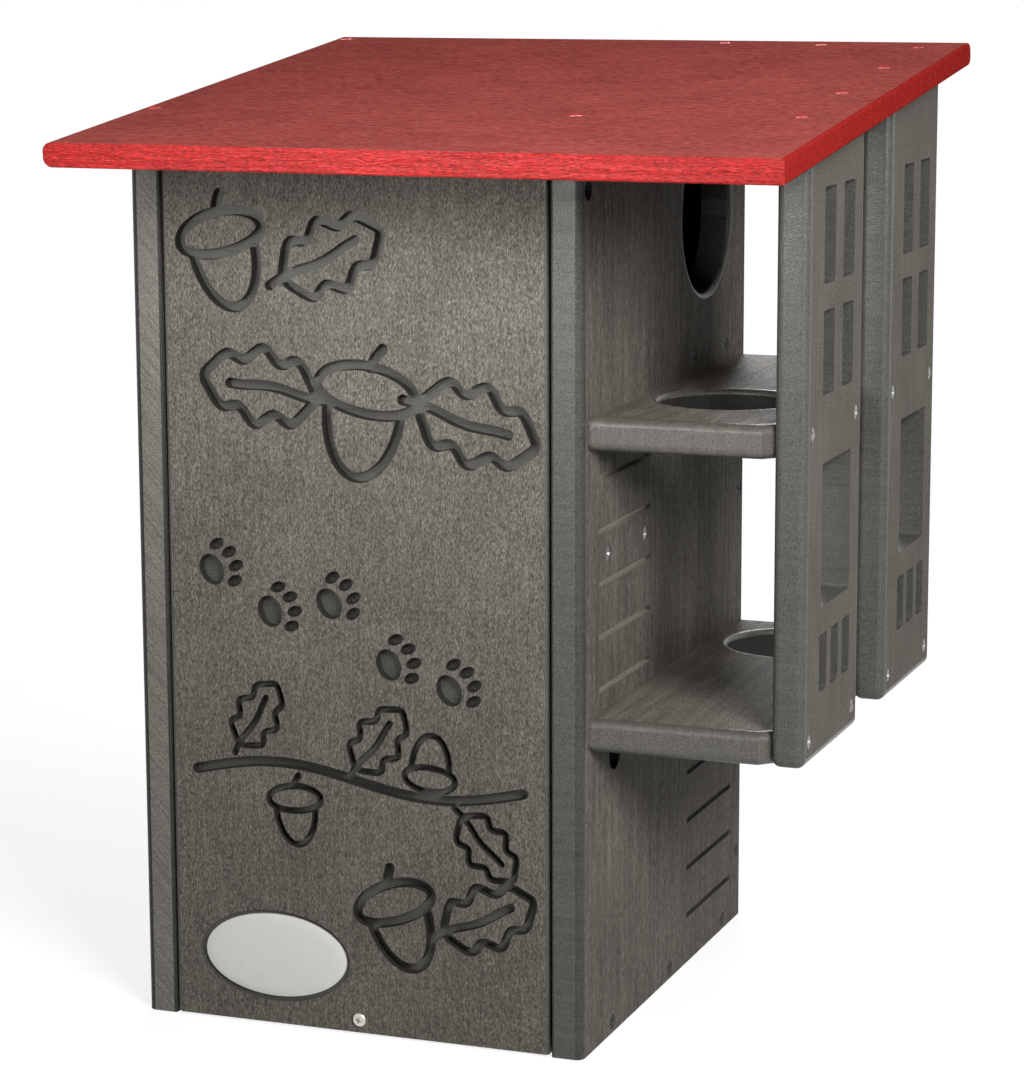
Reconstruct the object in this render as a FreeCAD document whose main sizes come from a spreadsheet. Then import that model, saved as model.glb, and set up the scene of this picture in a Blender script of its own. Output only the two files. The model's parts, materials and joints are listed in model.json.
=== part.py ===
import FreeCAD, Part
import os
from collections import namedtuple

import Sketcher

# Driving sizes: millimetres, and degrees for the pitch
SIZES = [
    # Box
    ("box_width", "254", "over the side walls"),
    ("box_depth", "285", "front face to rear face"),
    ("front_height", "480", "side wall at its front face"),
    ("roof_pitch", "6.1", "fall of the roof towards the front"),
    ("board", "17.5", "thick boards: walls, door, porch"),
    ("panel", "12.7", "thin boards: roof, back, floor, inner shelves"),
    ("edge_round", "4.8", "routed round on exposed board edges"),
    # Roof
    ("roof_front_overhang", "95", "along the slope, past the front face"),
    ("roof_side_overhang", "16", "past the slats"),
    ("roof_bullnose", "4.8", "round of the left and rear edges"),
    ("roof_ease", "1.5", "round of the front and right edges"),
    # Door
    ("door_gap", "1.5", "between the door and each wall"),
    ("door_base_gap", "1", "door above the base plane"),
    ("door_back_gap", "0.5", "between the door and the floor's front edge"),
    ("pivot_drop", "23", "door pivot below the wall's front height"),
    ("door_top_gap", "5", "door below the wall's front height"),
    # Badge
    ("badge_width", "83", "oval plate, across"),
    ("badge_height", "46", "oval plate, upright"),
    ("badge_thickness", "2.6", "oval plate"),
    ("badge_margin", "2.5", "recess beyond the plate, all round"),
    ("badge_recess", "2.4", "depth of the recess"),
    ("badge_offset", "49.5", "plate centre left of the door's middle"),
    ("badge_level", "39", "plate centre above the base plane"),
    # Entrance and vent
    ("entrance_bore", "88.9", "entrance hole"),
    ("entrance_round", "3", "round of the entrance's outer rim"),
    ("entrance_from_rear", "73.5", "entrance centre from the rear face"),
    ("entrance_drop", "74", "entrance centre below the roof"),
    ("vent_bore", "18", "vent hole"),
    ("vent_from_front", "52", "vent centre from the front face"),
    ("vent_gap", "1.5", "vent rim below the lower shelf"),
    # Climbing grooves
    ("groove_length", "86", "along the wall"),
    ("groove_height", "3.2", "width of the cut"),
    ("groove_depth", "3", "into the wall"),
    ("groove_pitch", "28.2", "groove to groove"),
    ("front_groove_inset", "26", "front column from the front face"),
    ("front_groove_rise", "11.4", "lowest groove above the lower shelf"),
    ("rear_groove_inset", "19", "rear column from the rear face"),
    ("rear_groove_rise", "28.3", "lowest groove above the base plane"),
    # Porch
    ("porch_reach", "98.5", "shelves, wall to slats"),
    ("porch_front", "8", "porch behind the front face"),
    ("porch_rear", "7", "porch ahead of the rear face"),
    ("upper_shelf_drop", "138.5", "upper shelf's top below the wall's front height"),
    ("shelf_spacing", "158.5", "lower shelf below the upper one"),
    ("corner_chamfer", "6", "shelf's outer front corner"),
    ("porch_hole", "76.2", "hole in each shelf"),
    ("porch_hole_round", "3", "round of the hole's top rim"),
    ("upper_hole_inset", "88", "hole centre from the shelf's front"),
    ("lower_hole_inset", "52", "hole centre from the shelf's rear"),
    ("rail_height", "38", "rail under the roof at the porch's rear"),
    # Slats and their windows
    ("slat_width", "107", "front to rear"),
    ("window_offset", "4", "windows behind the slat's middle"),
    ("pane_width", "21.5", "small windows"),
    ("pane_pitch", "37", "small windows, centre to centre"),
    ("top_pane_height", "49", "top row"),
    ("top_pane_drop", "20.4", "top row below the wall's front height"),
    ("low_pane_height", "43", "second row"),
    ("pane_gap", "13.6", "second row below the top row"),
    ("big_pane_width", "55.5", "large window"),
    ("big_pane_height", "74.5", "large window"),
    ("big_pane_drop", "5", "large window below the upper shelf"),
    ("slit_width", "14.7", "slits"),
    ("slit_height", "30", "slits"),
    ("slit_pitch", "22.3", "slits, centre to centre"),
    ("slit_gap", "14.3", "slits below the large window"),
    ("window_corner", "2", "round of the windows' corners"),
    # Inner shelves, floor and back
    ("inner_shelf_depth", "105", "front to rear"),
    ("inner_shelf_gap", "2", "front step behind the door"),
    ("landing_drop", "78.6", "landing's middle below the entrance's centre"),
    ("step_drop", "85", "step's middle below the landing's"),
    ("drain_bore", "8", "floor drains"),
    ("drain_inset", "30", "drains from the floor's edges"),
    ("hang_bore", "6.5", "hanging holes in the back"),
    ("hang_level", "120", "lower hanging hole above the base plane"),
    ("hang_spacing", "305", "hanging hole to hanging hole"),
    # Countersunk screws
    ("screw_head", "8", "head across"),
    ("screw_head_depth", "3.2", "head, top to shank"),
    ("screw_sink", "0.4", "head below the surface"),
    ("screw_shank", "4.2", "shank across"),
    ("screw_length", "38", "wall screws"),
    ("roof_screw_length", "32", "roof screws"),
    ("porch_screw_length", "27", "porch and slat screws"),
    ("screw_clearance", "0.1", "bore beyond the screw, all round"),
    ("floor_screw_inset", "48.5", "first screw from the front face"),
    ("floor_screw_rear", "34.5", "last screw from the rear face"),
    ("back_screw_level", "41", "lowest screw above the base plane"),
    ("back_screw_drop", "27.5", "highest screw below the roof"),
    ("inner_screw_inset", "22", "from the inner shelf's front and rear"),
    ("slat_screw_inset", "11.5", "from the slat's edges"),
    ("slat_screw_rise", "4", "above the shelf's middle"),
    ("porch_screw_inset", "25", "from the shelf's front, and the upper one's rear"),
    ("porch_screw_gap", "15", "lower shelf's second screw ahead of its hole"),
    ("roof_screw_inset", "16", "first roof screw behind the front face"),
    ("roof_screw_rear", "12", "last roof screw ahead of the roof's rear"),
    ("roof_slat_inset", "15.5", "roof screws from the slat's edges"),
    # Pivot screws
    ("pivot_head", "8.5", "head across"),
    ("pivot_head_height", "4", "head"),
    ("pivot_shank", "5", "shank across"),
    ("pivot_length", "32", "below the head"),
    ("pivot_clearance", "0.05", "wall bore beyond the shank"),
    ("counterbore", "10.5", "well for the head"),
    ("counterbore_depth", "7", "well for the head"),
    ("pivot_seat_gap", "0.2", "head above the well's floor"),
    # Lock screw
    ("lock_head", "7.6", "head across"),
    ("lock_head_height", "2.2", "head"),
    ("lock_shank", "4.2", "shank across"),
    ("lock_length", "30", "below the head"),
    ("lock_rise", "2.1", "above the floor's middle"),
    ("lock_clearance", "0.08", "door bore beyond the shank"),
    ("lock_socket", "5.8", "socket in the floor's front edge"),
]

# Counts
FRONT_GROOVE_COUNT = 5
REAR_GROOVE_COUNT = 4
FLOOR_SCREW_COUNT = 3
BACK_SCREW_COUNT = 3
SLIT_COUNT = 3

# How far a cutter stands proud of the face that it cuts
PROUD = 1.0

doc = FreeCAD.newDocument("SquirrelNestBox")
sheet = doc.addObject("Spreadsheet::Sheet", "Sizes")
for row, (alias, number, note) in enumerate(SIZES, start=1):
    sheet.set(f"A{row}", alias)
    sheet.set(f"B{row}", number)
    sheet.set(f"C{row}", note)
    sheet.setAlias(f"B{row}", alias)
doc.recompute()

# Places that several pieces share, as expressions
LEFT = "(-Sizes.box_width / 2)"
RIGHT = "(Sizes.box_width / 2)"
FRONT = "(-Sizes.box_depth / 2)"
REAR = "(Sizes.box_depth / 2)"
INNER_LEFT = f"({LEFT} + Sizes.board)"
INNER_RIGHT = f"({RIGHT} - Sizes.board)"
DOOR_BACK = f"({FRONT} + Sizes.board)"
BACK_FACE = f"({REAR} - Sizes.panel)"
PIVOT_Y = f"({FRONT} + Sizes.board / 2)"
PIVOT_Z = "(Sizes.front_height - Sizes.pivot_drop)"
FLOOR_MIDDLE = "(Sizes.panel / 2)"
SHELF_FRONT = f"({FRONT} + Sizes.porch_front)"
SHELF_REAR = f"({REAR} - Sizes.porch_rear)"
SLAT_INNER = f"({RIGHT} + Sizes.porch_reach)"
SLAT_OUTER = f"({SLAT_INNER} + Sizes.board)"
UPPER_SHELF_TOP = "(Sizes.front_height - Sizes.upper_shelf_drop)"
LOWER_SHELF_TOP = f"({UPPER_SHELF_TOP} - Sizes.shelf_spacing)"
UPPER_SHELF_BASE = f"({UPPER_SHELF_TOP} - Sizes.board)"
LOWER_SHELF_BASE = f"({LOWER_SHELF_TOP} - Sizes.board)"
UPPER_HOLE_Y = f"({SHELF_FRONT} + Sizes.upper_hole_inset)"
LOWER_HOLE_Y = f"({SHELF_REAR} - Sizes.lower_hole_inset)"
REAR_SLAT_FRONT = f"({SHELF_REAR} - Sizes.slat_width)"
ROOF_REAR = "(Sizes.box_depth / cos(Sizes.roof_pitch))"
STEP_FRONT = f"({DOOR_BACK} + Sizes.inner_shelf_gap)"
LANDING_FRONT = f"({BACK_FACE} - Sizes.inner_shelf_depth)"
RAIL_FRONT = f"({SHELF_REAR} - Sizes.board)"


def at(expression):
    """The number that an expression on the sheet comes to."""
    return float(sheet.evalExpression(expression))


def under_roof(y):
    """Height of the roof's underside at y."""
    return f"(Sizes.front_height + ({y} - {FRONT}) * tan(Sizes.roof_pitch))"


def on_roof(along, out):
    """A point of the roof's section: along the slope from the front face, and out from its underside."""
    y = f"({FRONT} + ({along}) * cos(Sizes.roof_pitch) - ({out}) * sin(Sizes.roof_pitch))"
    z = f"(Sizes.front_height + ({along}) * sin(Sizes.roof_pitch) + ({out}) * cos(Sizes.roof_pitch))"
    return y, z


ENTRANCE_Y = f"({REAR} - Sizes.entrance_from_rear)"
ENTRANCE_Z = f"({under_roof(ENTRANCE_Y)} - Sizes.entrance_drop)"
LANDING_Z = f"({ENTRANCE_Z} - Sizes.landing_drop)"
STEP_Z = f"({LANDING_Z} - Sizes.step_drop)"


# Sketches and features

def new_body(label):
    """An empty body with its label."""
    body = doc.addObject("PartDesign::Body", label)
    body.Label = label
    return body


def new_sketch(body, name, role, offset=None):
    """A sketch on one of the body's own origin planes, moved along its normal by offset."""
    plane = next(item for item in body.Origin.OriginFeatures if item.Role == role)
    sketch = body.newObject("Sketcher::SketchObject", f"{body.Name}_{name}")
    sketch.AttachmentSupport = (plane, [""])
    sketch.MapMode = "FlatFace"
    if offset:
        sketch.setExpression("AttachmentOffset.Base.z", offset)
    return sketch


def pin(sketch, kind, geometry, point, expression):
    """Hold one coordinate of a sketch point to an expression."""
    held = Sketcher.Constraint(kind, -1, 1, geometry, point, at(expression))
    index = sketch.addConstraint(held)
    sketch.setExpression(f"Constraints[{index}]", expression)


def outline(sketch, corners):
    """A closed outline whose corners are pairs of expressions."""
    first = sketch.GeometryCount
    count = len(corners)
    spots = [FreeCAD.Vector(at(u), at(v), 0) for u, v in corners]
    for index in range(count):
        sketch.addGeometry(Part.LineSegment(spots[index], spots[(index + 1) % count]), False)
    for index, (u, v) in enumerate(corners):
        after = first + (index + 1) % count
        sketch.addConstraint(Sketcher.Constraint("Coincident", first + index, 2, after, 1))
        pin(sketch, "DistanceX", first + index, 1, u)
        pin(sketch, "DistanceY", first + index, 1, v)


def rectangle(sketch, low_u, low_v, high_u, high_v):
    """A closed rectangle between two corners."""
    outline(sketch, [(low_u, low_v), (high_u, low_v), (high_u, high_v), (low_u, high_v)])


def circle(sketch, u, v, bore):
    """A circle of a given bore."""
    centre = FreeCAD.Vector(at(u), at(v), 0)
    index = sketch.addGeometry(Part.Circle(centre, FreeCAD.Vector(0, 0, 1), at(bore) / 2), False)
    pin(sketch, "DistanceX", index, 3, u)
    pin(sketch, "DistanceY", index, 3, v)
    held = sketch.addConstraint(Sketcher.Constraint("Diameter", index, at(bore)))
    sketch.setExpression(f"Constraints[{held}]", bore)


def oval(sketch, u, v, half_width, half_height):
    """An ellipse about a centre."""
    centre = FreeCAD.Vector(at(u), at(v), 0)
    side = centre + FreeCAD.Vector(at(half_width), 0, 0)
    top = centre + FreeCAD.Vector(0, at(half_height), 0)
    index = sketch.addGeometry(Part.Ellipse(side, top, centre), False)
    sketch.exposeInternalGeometry(index)
    major = index + 1
    minor = index + 2
    pin(sketch, "DistanceX", index, 3, u)
    pin(sketch, "DistanceY", index, 3, v)
    ends = {end: sketch.getPoint(major, end).x for end in (1, 2)}
    pin(sketch, "DistanceX", major, max(ends, key=ends.get), f"({u}) + ({half_width})")
    pin(sketch, "DistanceY", major, max(ends, key=ends.get), v)
    tops = {end: sketch.getPoint(minor, end).y for end in (1, 2)}
    pin(sketch, "DistanceY", minor, max(tops, key=tops.get), f"({v}) + ({half_height})")


def pad(body, sketch, length):
    """Raise a sketch along its normal."""
    feature = body.newObject("PartDesign::Pad", f"{sketch.Name}_pad")
    feature.Profile = sketch
    feature.setExpression("Length", length)
    doc.recompute()
    return feature


def pocket(body, sketch, depth=None):
    """Cut a sketch right through the body, or to a depth against its normal."""
    before = body.Shape.Volume
    feature = body.newObject("PartDesign::Pocket", f"{sketch.Name}_cut")
    feature.Profile = sketch
    if depth:
        feature.setExpression("Length", depth)
    else:
        feature.Type = "ThroughAll"
        feature.SideType = "Symmetric"
    doc.recompute()
    if body.Shape.Volume >= before:
        raise RuntimeError(f"{feature.Name} cuts nothing")
    return feature


def repeat(body, feature, sketch, pitch, count):
    """Repeat a cut up its sketch's vertical axis."""
    pattern = body.newObject("PartDesign::LinearPattern", f"{feature.Name}_row")
    pattern.Originals = [feature]
    pattern.Direction = (sketch, ["V_Axis"])
    pattern.setExpression("Length", f"{pitch} * {count - 1}")
    pattern.Occurrences = count
    body.Tip = pattern
    doc.recompute()


def round_edges(body, name, radius, pick):
    """Round the edges that pick chooses."""
    base = body.Tip
    names = [f"Edge{index}" for index, edge in enumerate(base.Shape.Edges, start=1) if pick(edge)]
    feature = body.newObject("PartDesign::Fillet", f"{body.Name}_{name}")
    feature.Base = (base, names)
    feature.setExpression("Radius", radius)
    doc.recompute()


def near(one, other):
    """Whether two lengths agree."""
    return abs(one - other) < 1e-4


def reaches(edge, axis, level):
    """Whether an edge lies in the plane where an axis has one level."""
    return all(near(getattr(vertex.Point, axis), level) for vertex in edge.Vertexes)


def runs(edge, axis):
    """Whether a straight edge runs along an axis."""
    if edge.Degenerated or edge.Curve.TypeId != "Part::GeomLine":
        return False
    return near(abs(getattr(edge.Curve.Direction, axis)), 1)


# Side walls

def wall_blank(label, x):
    """A side wall whose top follows the roof."""
    body = new_body(label)
    sketch = new_sketch(body, "side", "YZ_Plane")
    top_rear = under_roof(REAR)
    outline(sketch, [(FRONT, "0"), (REAR, "0"), (REAR, top_rear), (FRONT, "Sizes.front_height")])
    pad(body, sketch, "Sizes.board")
    body.setExpression("Placement.Base.x", x)
    return body


def left_wall():
    """Plain wall with its outer front edge rounded."""
    body = wall_blank("left_wall_blank", LEFT)
    front = at(FRONT)
    round_edges(body, "front_edge", "Sizes.edge_round",
                lambda edge: runs(edge, "z") and reaches(edge, "y", front) and reaches(edge, "x", 0))
    return body


def right_wall():
    """Wall with the entrance, the vent and two columns of climbing grooves."""
    body = wall_blank("right_wall_blank", INNER_RIGHT)
    front = at(FRONT)
    outer = at("Sizes.board")
    round_edges(body, "front_edge", "Sizes.edge_round",
                lambda edge: runs(edge, "z") and reaches(edge, "y", front) and reaches(edge, "x", outer))

    entrance = new_sketch(body, "entrance", "YZ_Plane")
    circle(entrance, ENTRANCE_Y, ENTRANCE_Z, "Sizes.entrance_bore")
    pocket(body, entrance)
    bore = at("Sizes.entrance_bore / 2")
    round_edges(body, "entrance_rim", "Sizes.entrance_round",
                lambda edge: reaches(edge, "x", outer) and near(getattr(edge.Curve, "Radius", 0), bore))

    vent = new_sketch(body, "vent", "YZ_Plane")
    vent_z = f"{LOWER_SHELF_BASE} - Sizes.vent_gap - Sizes.vent_bore / 2"
    circle(vent, f"{FRONT} + Sizes.vent_from_front", vent_z, "Sizes.vent_bore")
    pocket(body, vent)

    front_start = f"{FRONT} + Sizes.front_groove_inset"
    rear_start = f"{REAR} - Sizes.rear_groove_inset - Sizes.groove_length"
    front_level = f"{LOWER_SHELF_TOP} + Sizes.front_groove_rise"
    for name, start, level, count in (
        ("front_groove", front_start, front_level, FRONT_GROOVE_COUNT),
        ("rear_groove", rear_start, "Sizes.rear_groove_rise", REAR_GROOVE_COUNT),
    ):
        sketch = new_sketch(body, name, "YZ_Plane", "Sizes.board")
        rectangle(sketch, start, f"{level} - Sizes.groove_height / 2",
                  f"{start} + Sizes.groove_length", f"{level} + Sizes.groove_height / 2")
        groove = pocket(body, sketch, "Sizes.groove_depth")
        repeat(body, groove, sketch, "Sizes.groove_pitch", count)
    return body


# Floor and back

def floor_panel():
    """Bottom board between the walls, with four drains."""
    body = new_body("floor_panel_blank")
    sketch = new_sketch(body, "plan", "XY_Plane")
    front = f"({DOOR_BACK} + Sizes.door_back_gap)"
    rectangle(sketch, INNER_LEFT, front, INNER_RIGHT, BACK_FACE)
    pad(body, sketch, "Sizes.panel")
    drains = new_sketch(body, "drains", "XY_Plane")
    for x in (f"{INNER_LEFT} + Sizes.drain_inset", f"{INNER_RIGHT} - Sizes.drain_inset"):
        for y in (f"{front} + Sizes.drain_inset", f"{BACK_FACE} - Sizes.drain_inset"):
            circle(drains, x, y, "Sizes.drain_bore")
    pocket(body, drains)
    return body


def back_panel():
    """Rear board between the walls, with two hanging holes."""
    body = new_body("back_panel_blank")
    sketch = new_sketch(body, "side", "YZ_Plane")
    outline(sketch, [(BACK_FACE, "0"), (REAR, "0"),
                     (REAR, under_roof(REAR)), (BACK_FACE, under_roof(BACK_FACE))])
    pad(body, sketch, "Sizes.box_width - 2 * Sizes.board")
    body.setExpression("Placement.Base.x", INNER_LEFT)
    holes = new_sketch(body, "hanging", "XZ_Plane")
    for level in ("Sizes.hang_level", "Sizes.hang_level + Sizes.hang_spacing"):
        circle(holes, f"-{INNER_LEFT}", level, "Sizes.hang_bore")
    pocket(body, holes)
    return body


def inner_shelf(label, front, level):
    """A half-depth board between the walls."""
    shelf = doc.addObject("Part::Box", label)
    shelf.Label = label
    shelf.setExpression("Length", "Sizes.box_width - 2 * Sizes.board")
    shelf.setExpression("Width", "Sizes.inner_shelf_depth")
    shelf.setExpression("Height", "Sizes.panel")
    shelf.setExpression("Placement.Base.x", INNER_LEFT)
    shelf.setExpression("Placement.Base.y", front)
    shelf.setExpression("Placement.Base.z", f"{level} - Sizes.panel / 2")
    return shelf


# Door and badge

def front_door():
    """Flush door with the badge's oval recess."""
    body = new_body("front_door_blank")
    sketch = new_sketch(body, "face", "XZ_Plane")
    top = "Sizes.front_height - Sizes.door_top_gap"
    rectangle(sketch, f"{INNER_LEFT} + Sizes.door_gap", "Sizes.door_base_gap",
              f"{INNER_RIGHT} - Sizes.door_gap", top)
    pad(body, sketch, "Sizes.board")
    body.setExpression("Placement.Base.y", DOOR_BACK)
    recess = new_sketch(body, "recess", "XZ_Plane", "Sizes.board")
    oval(recess, "-Sizes.badge_offset", "Sizes.badge_level",
         "Sizes.badge_width / 2 + Sizes.badge_margin", "Sizes.badge_height / 2 + Sizes.badge_margin")
    pocket(body, recess, "Sizes.badge_recess")
    return body


def badge_plate():
    """Blank oval plate on the recess's floor."""
    body = new_body("badge_plate")
    sketch = new_sketch(body, "face", "XZ_Plane")
    oval(sketch, "-Sizes.badge_offset", "Sizes.badge_level",
         "Sizes.badge_width / 2", "Sizes.badge_height / 2")
    pad(body, sketch, "Sizes.badge_thickness")
    body.setExpression("Placement.Base.y", f"{FRONT} + Sizes.badge_recess")
    return body


# Roof

def roof_panel():
    """Pitched board, flush with the left wall and the back, rounded on those two edges."""
    body = new_body("roof_panel_blank")
    sketch = new_sketch(body, "side", "YZ_Plane")
    corners = [("-Sizes.roof_front_overhang", "0"), (ROOF_REAR, "0"),
               (ROOF_REAR, "Sizes.panel"), ("-Sizes.roof_front_overhang", "Sizes.panel")]
    outline(sketch, [on_roof(along, out) for along, out in corners])
    pad(body, sketch, f"{SLAT_OUTER} + Sizes.roof_side_overhang - {LEFT}")
    body.setExpression("Placement.Base.x", LEFT)

    right = at(f"{SLAT_OUTER} + Sizes.roof_side_overhang - {LEFT}")

    def lies(edge, along):
        levels = [at(on_roof(along, out)[0]) for out in ("0", "Sizes.panel")]
        return runs(edge, "x") and any(reaches(edge, "y", level) for level in levels)

    def slopes(edge, level):
        ends = [vertex.Point.y for vertex in edge.Vertexes]
        return reaches(edge, "x", level) and abs(ends[1] - ends[0]) > at("Sizes.box_depth / 2")

    round_edges(body, "bullnose", "Sizes.roof_bullnose",
                lambda edge: lies(edge, ROOF_REAR) or slopes(edge, 0))
    round_edges(body, "ease", "Sizes.roof_ease",
                lambda edge: lies(edge, "-Sizes.roof_front_overhang") or slopes(edge, right))
    return body


# Porch

def porch_shelf(label, top, hole_y):
    """A shelf off the right wall, its front edge rounded, with a round hole."""
    body = new_body(label)
    sketch = new_sketch(body, "plan", "XY_Plane")
    outline(sketch, [
        (RIGHT, SHELF_FRONT),
        (f"{SLAT_INNER} - Sizes.corner_chamfer", SHELF_FRONT),
        (SLAT_INNER, f"{SHELF_FRONT} + Sizes.corner_chamfer"),
        (SLAT_INNER, SHELF_REAR),
        (RIGHT, SHELF_REAR),
    ])
    pad(body, sketch, "Sizes.board")
    body.setExpression("Placement.Base.z", f"{top} - Sizes.board")

    turn = at(f"{SHELF_FRONT} + Sizes.corner_chamfer")
    faces = (0, at("Sizes.board"))

    def front_edge(edge):
        level = any(reaches(edge, "z", face) for face in faces)
        return level and all(vertex.Point.y < turn + 1e-4 for vertex in edge.Vertexes)

    round_edges(body, "front_edge", "Sizes.edge_round", front_edge)

    hole = new_sketch(body, "hole", "XY_Plane")
    circle(hole, f"{RIGHT} + Sizes.porch_reach / 2", hole_y, "Sizes.porch_hole")
    pocket(body, hole)
    radius = at("Sizes.porch_hole / 2")
    round_edges(body, "hole_rim", "Sizes.porch_hole_round",
                lambda edge: reaches(edge, "z", faces[1]) and near(getattr(edge.Curve, "Radius", 0), radius))
    return body


def slat(label, front):
    """An upright slat with rounded edges, cut through by its windows."""
    body = new_body(label)
    rear = f"({front} + Sizes.slat_width)"
    sketch = new_sketch(body, "side", "YZ_Plane")
    outline(sketch, [(front, LOWER_SHELF_BASE), (rear, LOWER_SHELF_BASE),
                     (rear, under_roof(rear)), (front, under_roof(front))])
    pad(body, sketch, "Sizes.board")
    body.setExpression("Placement.Base.x", SLAT_INNER)
    base = at(LOWER_SHELF_BASE)
    round_edges(body, "edges", "Sizes.edge_round",
                lambda edge: runs(edge, "z") or reaches(edge, "z", base))

    middle = f"({front} + Sizes.slat_width / 2 + Sizes.window_offset)"
    windows = new_sketch(body, "windows", "YZ_Plane")

    def window(shift, width, low, height):
        centre = f"({middle} + {shift})"
        rectangle(windows, f"{centre} - {width} / 2", low, f"{centre} + {width} / 2", f"{low} + {height}")

    top_low = "(Sizes.front_height - Sizes.top_pane_drop - Sizes.top_pane_height)"
    low_low = f"({top_low} - Sizes.pane_gap - Sizes.low_pane_height)"
    for side in ("-1", "1"):
        shift = f"{side} * Sizes.pane_pitch / 2"
        window(shift, "Sizes.pane_width", top_low, "Sizes.top_pane_height")
        window(shift, "Sizes.pane_width", low_low, "Sizes.low_pane_height")
    big_low = f"({UPPER_SHELF_BASE} - Sizes.big_pane_drop - Sizes.big_pane_height)"
    window("0", "Sizes.big_pane_width", big_low, "Sizes.big_pane_height")
    slit_low = f"({big_low} - Sizes.slit_gap - Sizes.slit_height)"
    for index in range(SLIT_COUNT):
        shift = f"{index - (SLIT_COUNT - 1) / 2} * Sizes.slit_pitch"
        window(shift, "Sizes.slit_width", slit_low, "Sizes.slit_height")
    pocket(body, windows)
    centre = at(f"{front} + Sizes.slat_width / 2")
    flat = at("Sizes.slat_width / 2 - Sizes.edge_round")
    round_edges(body, "window_corners", "Sizes.window_corner",
                lambda edge: runs(edge, "x") and abs(edge.Vertexes[0].Point.y - centre) < flat)
    return body


def porch_rear_rail():
    """Short rail between the wall and the rear slat, under the roof."""
    body = new_body("porch_rear_rail_blank")
    sketch = new_sketch(body, "side", "YZ_Plane")
    low = f"{under_roof(RAIL_FRONT)} - Sizes.rail_height"
    outline(sketch, [(RAIL_FRONT, low), (SHELF_REAR, low),
                     (SHELF_REAR, under_roof(SHELF_REAR)), (RAIL_FRONT, under_roof(RAIL_FRONT))])
    pad(body, sketch, "Sizes.porch_reach")
    body.setExpression("Placement.Base.x", RIGHT)
    return body


# Screws and their bores, turned about Z with the head up

def turned(label, corners):
    """A body turned from a half section of radius and height."""
    body = new_body(label)
    sketch = new_sketch(body, "section", "XZ_Plane")
    outline(sketch, corners)
    feature = body.newObject("PartDesign::Revolution", f"{label}_turned")
    feature.Profile = sketch
    feature.ReferenceAxis = (sketch, ["V_Axis"])
    feature.Angle = 360
    doc.recompute()
    return body


def countersunk(label, length):
    """A countersunk screw and the bore that takes it."""
    head = "Sizes.screw_head / 2"
    shank = "Sizes.screw_shank / 2"
    neck = "(-Sizes.screw_sink - Sizes.screw_head_depth)"
    end = f"(-Sizes.screw_sink - {length})"
    gap = "Sizes.screw_clearance"
    screw = turned(label, [("0", "-Sizes.screw_sink"), (head, "-Sizes.screw_sink"), (shank, neck),
                           (shank, end), ("0", end)])
    bore = turned(f"{label}_bore", [("0", str(PROUD)), (f"{head} + {gap}", str(PROUD)),
                                    (f"{head} + {gap}", "-Sizes.screw_sink"),
                                    (f"{shank} + {gap}", neck), (f"{shank} + {gap}", f"{end} - {gap}"),
                                    ("0", f"{end} - {gap}")])
    return screw, bore


def pan_head(label, head, height, shank, length):
    """A flat-based round-headed screw, its seat at zero."""
    head_radius = f"{head} / 2"
    shank_radius = f"{shank} / 2"
    return turned(label, [("0", height), (head_radius, height), (head_radius, "0"), (shank_radius, "0"),
                          (shank_radius, f"-{length}"), ("0", f"-{length}")])


def straight_bore(label, bore, low, high):
    """A plain round cutter between two heights."""
    radius = f"({bore}) / 2"
    return turned(label, [("0", high), (radius, high), (radius, low), ("0", low)])


Fixing = namedtuple("Fixing", "group point direction boards")
UP = FreeCAD.Vector(0, 0, 1)
ALONG_X = FreeCAD.Vector(1, 0, 0)
ALONG_Y = FreeCAD.Vector(0, 1, 0)


def spot(x, y, z):
    """A point from three expressions."""
    return FreeCAD.Vector(at(x), at(y), at(z))


def between(first, last, index, count):
    """One of a number of even places from first to last."""
    return f"({first}) + {index} / {count - 1} * (({last}) - ({first}))"


def wall_fixings():
    """Screws driven through each wall into the floor, the back and the inner shelves."""
    found = []
    back_y = f"({REAR} - Sizes.panel / 2)"
    for wall, x, inwards in (("left_wall", LEFT, ALONG_X), ("right_wall", RIGHT, -ALONG_X)):
        for index in range(FLOOR_SCREW_COUNT):
            y = between(f"{FRONT} + Sizes.floor_screw_inset", f"{REAR} - Sizes.floor_screw_rear",
                        index, FLOOR_SCREW_COUNT)
            found.append(Fixing("floor_screws", spot(x, y, FLOOR_MIDDLE), inwards, (wall, "floor_panel")))
        for index in range(BACK_SCREW_COUNT):
            z = between("Sizes.back_screw_level", f"{under_roof(back_y)} - Sizes.back_screw_drop",
                        index, BACK_SCREW_COUNT)
            found.append(Fixing("back_panel_screws", spot(x, back_y, z), inwards, (wall, "back_panel")))
        for shelf, front, level in (("lower_inner_shelf", STEP_FRONT, STEP_Z),
                                    ("upper_inner_shelf", LANDING_FRONT, LANDING_Z)):
            for y in (f"{front} + Sizes.inner_screw_inset",
                      f"{front} + Sizes.inner_shelf_depth - Sizes.inner_screw_inset"):
                found.append(Fixing("inner_shelf_screws", spot(x, y, level), inwards, (wall, shelf)))
    return found


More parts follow.
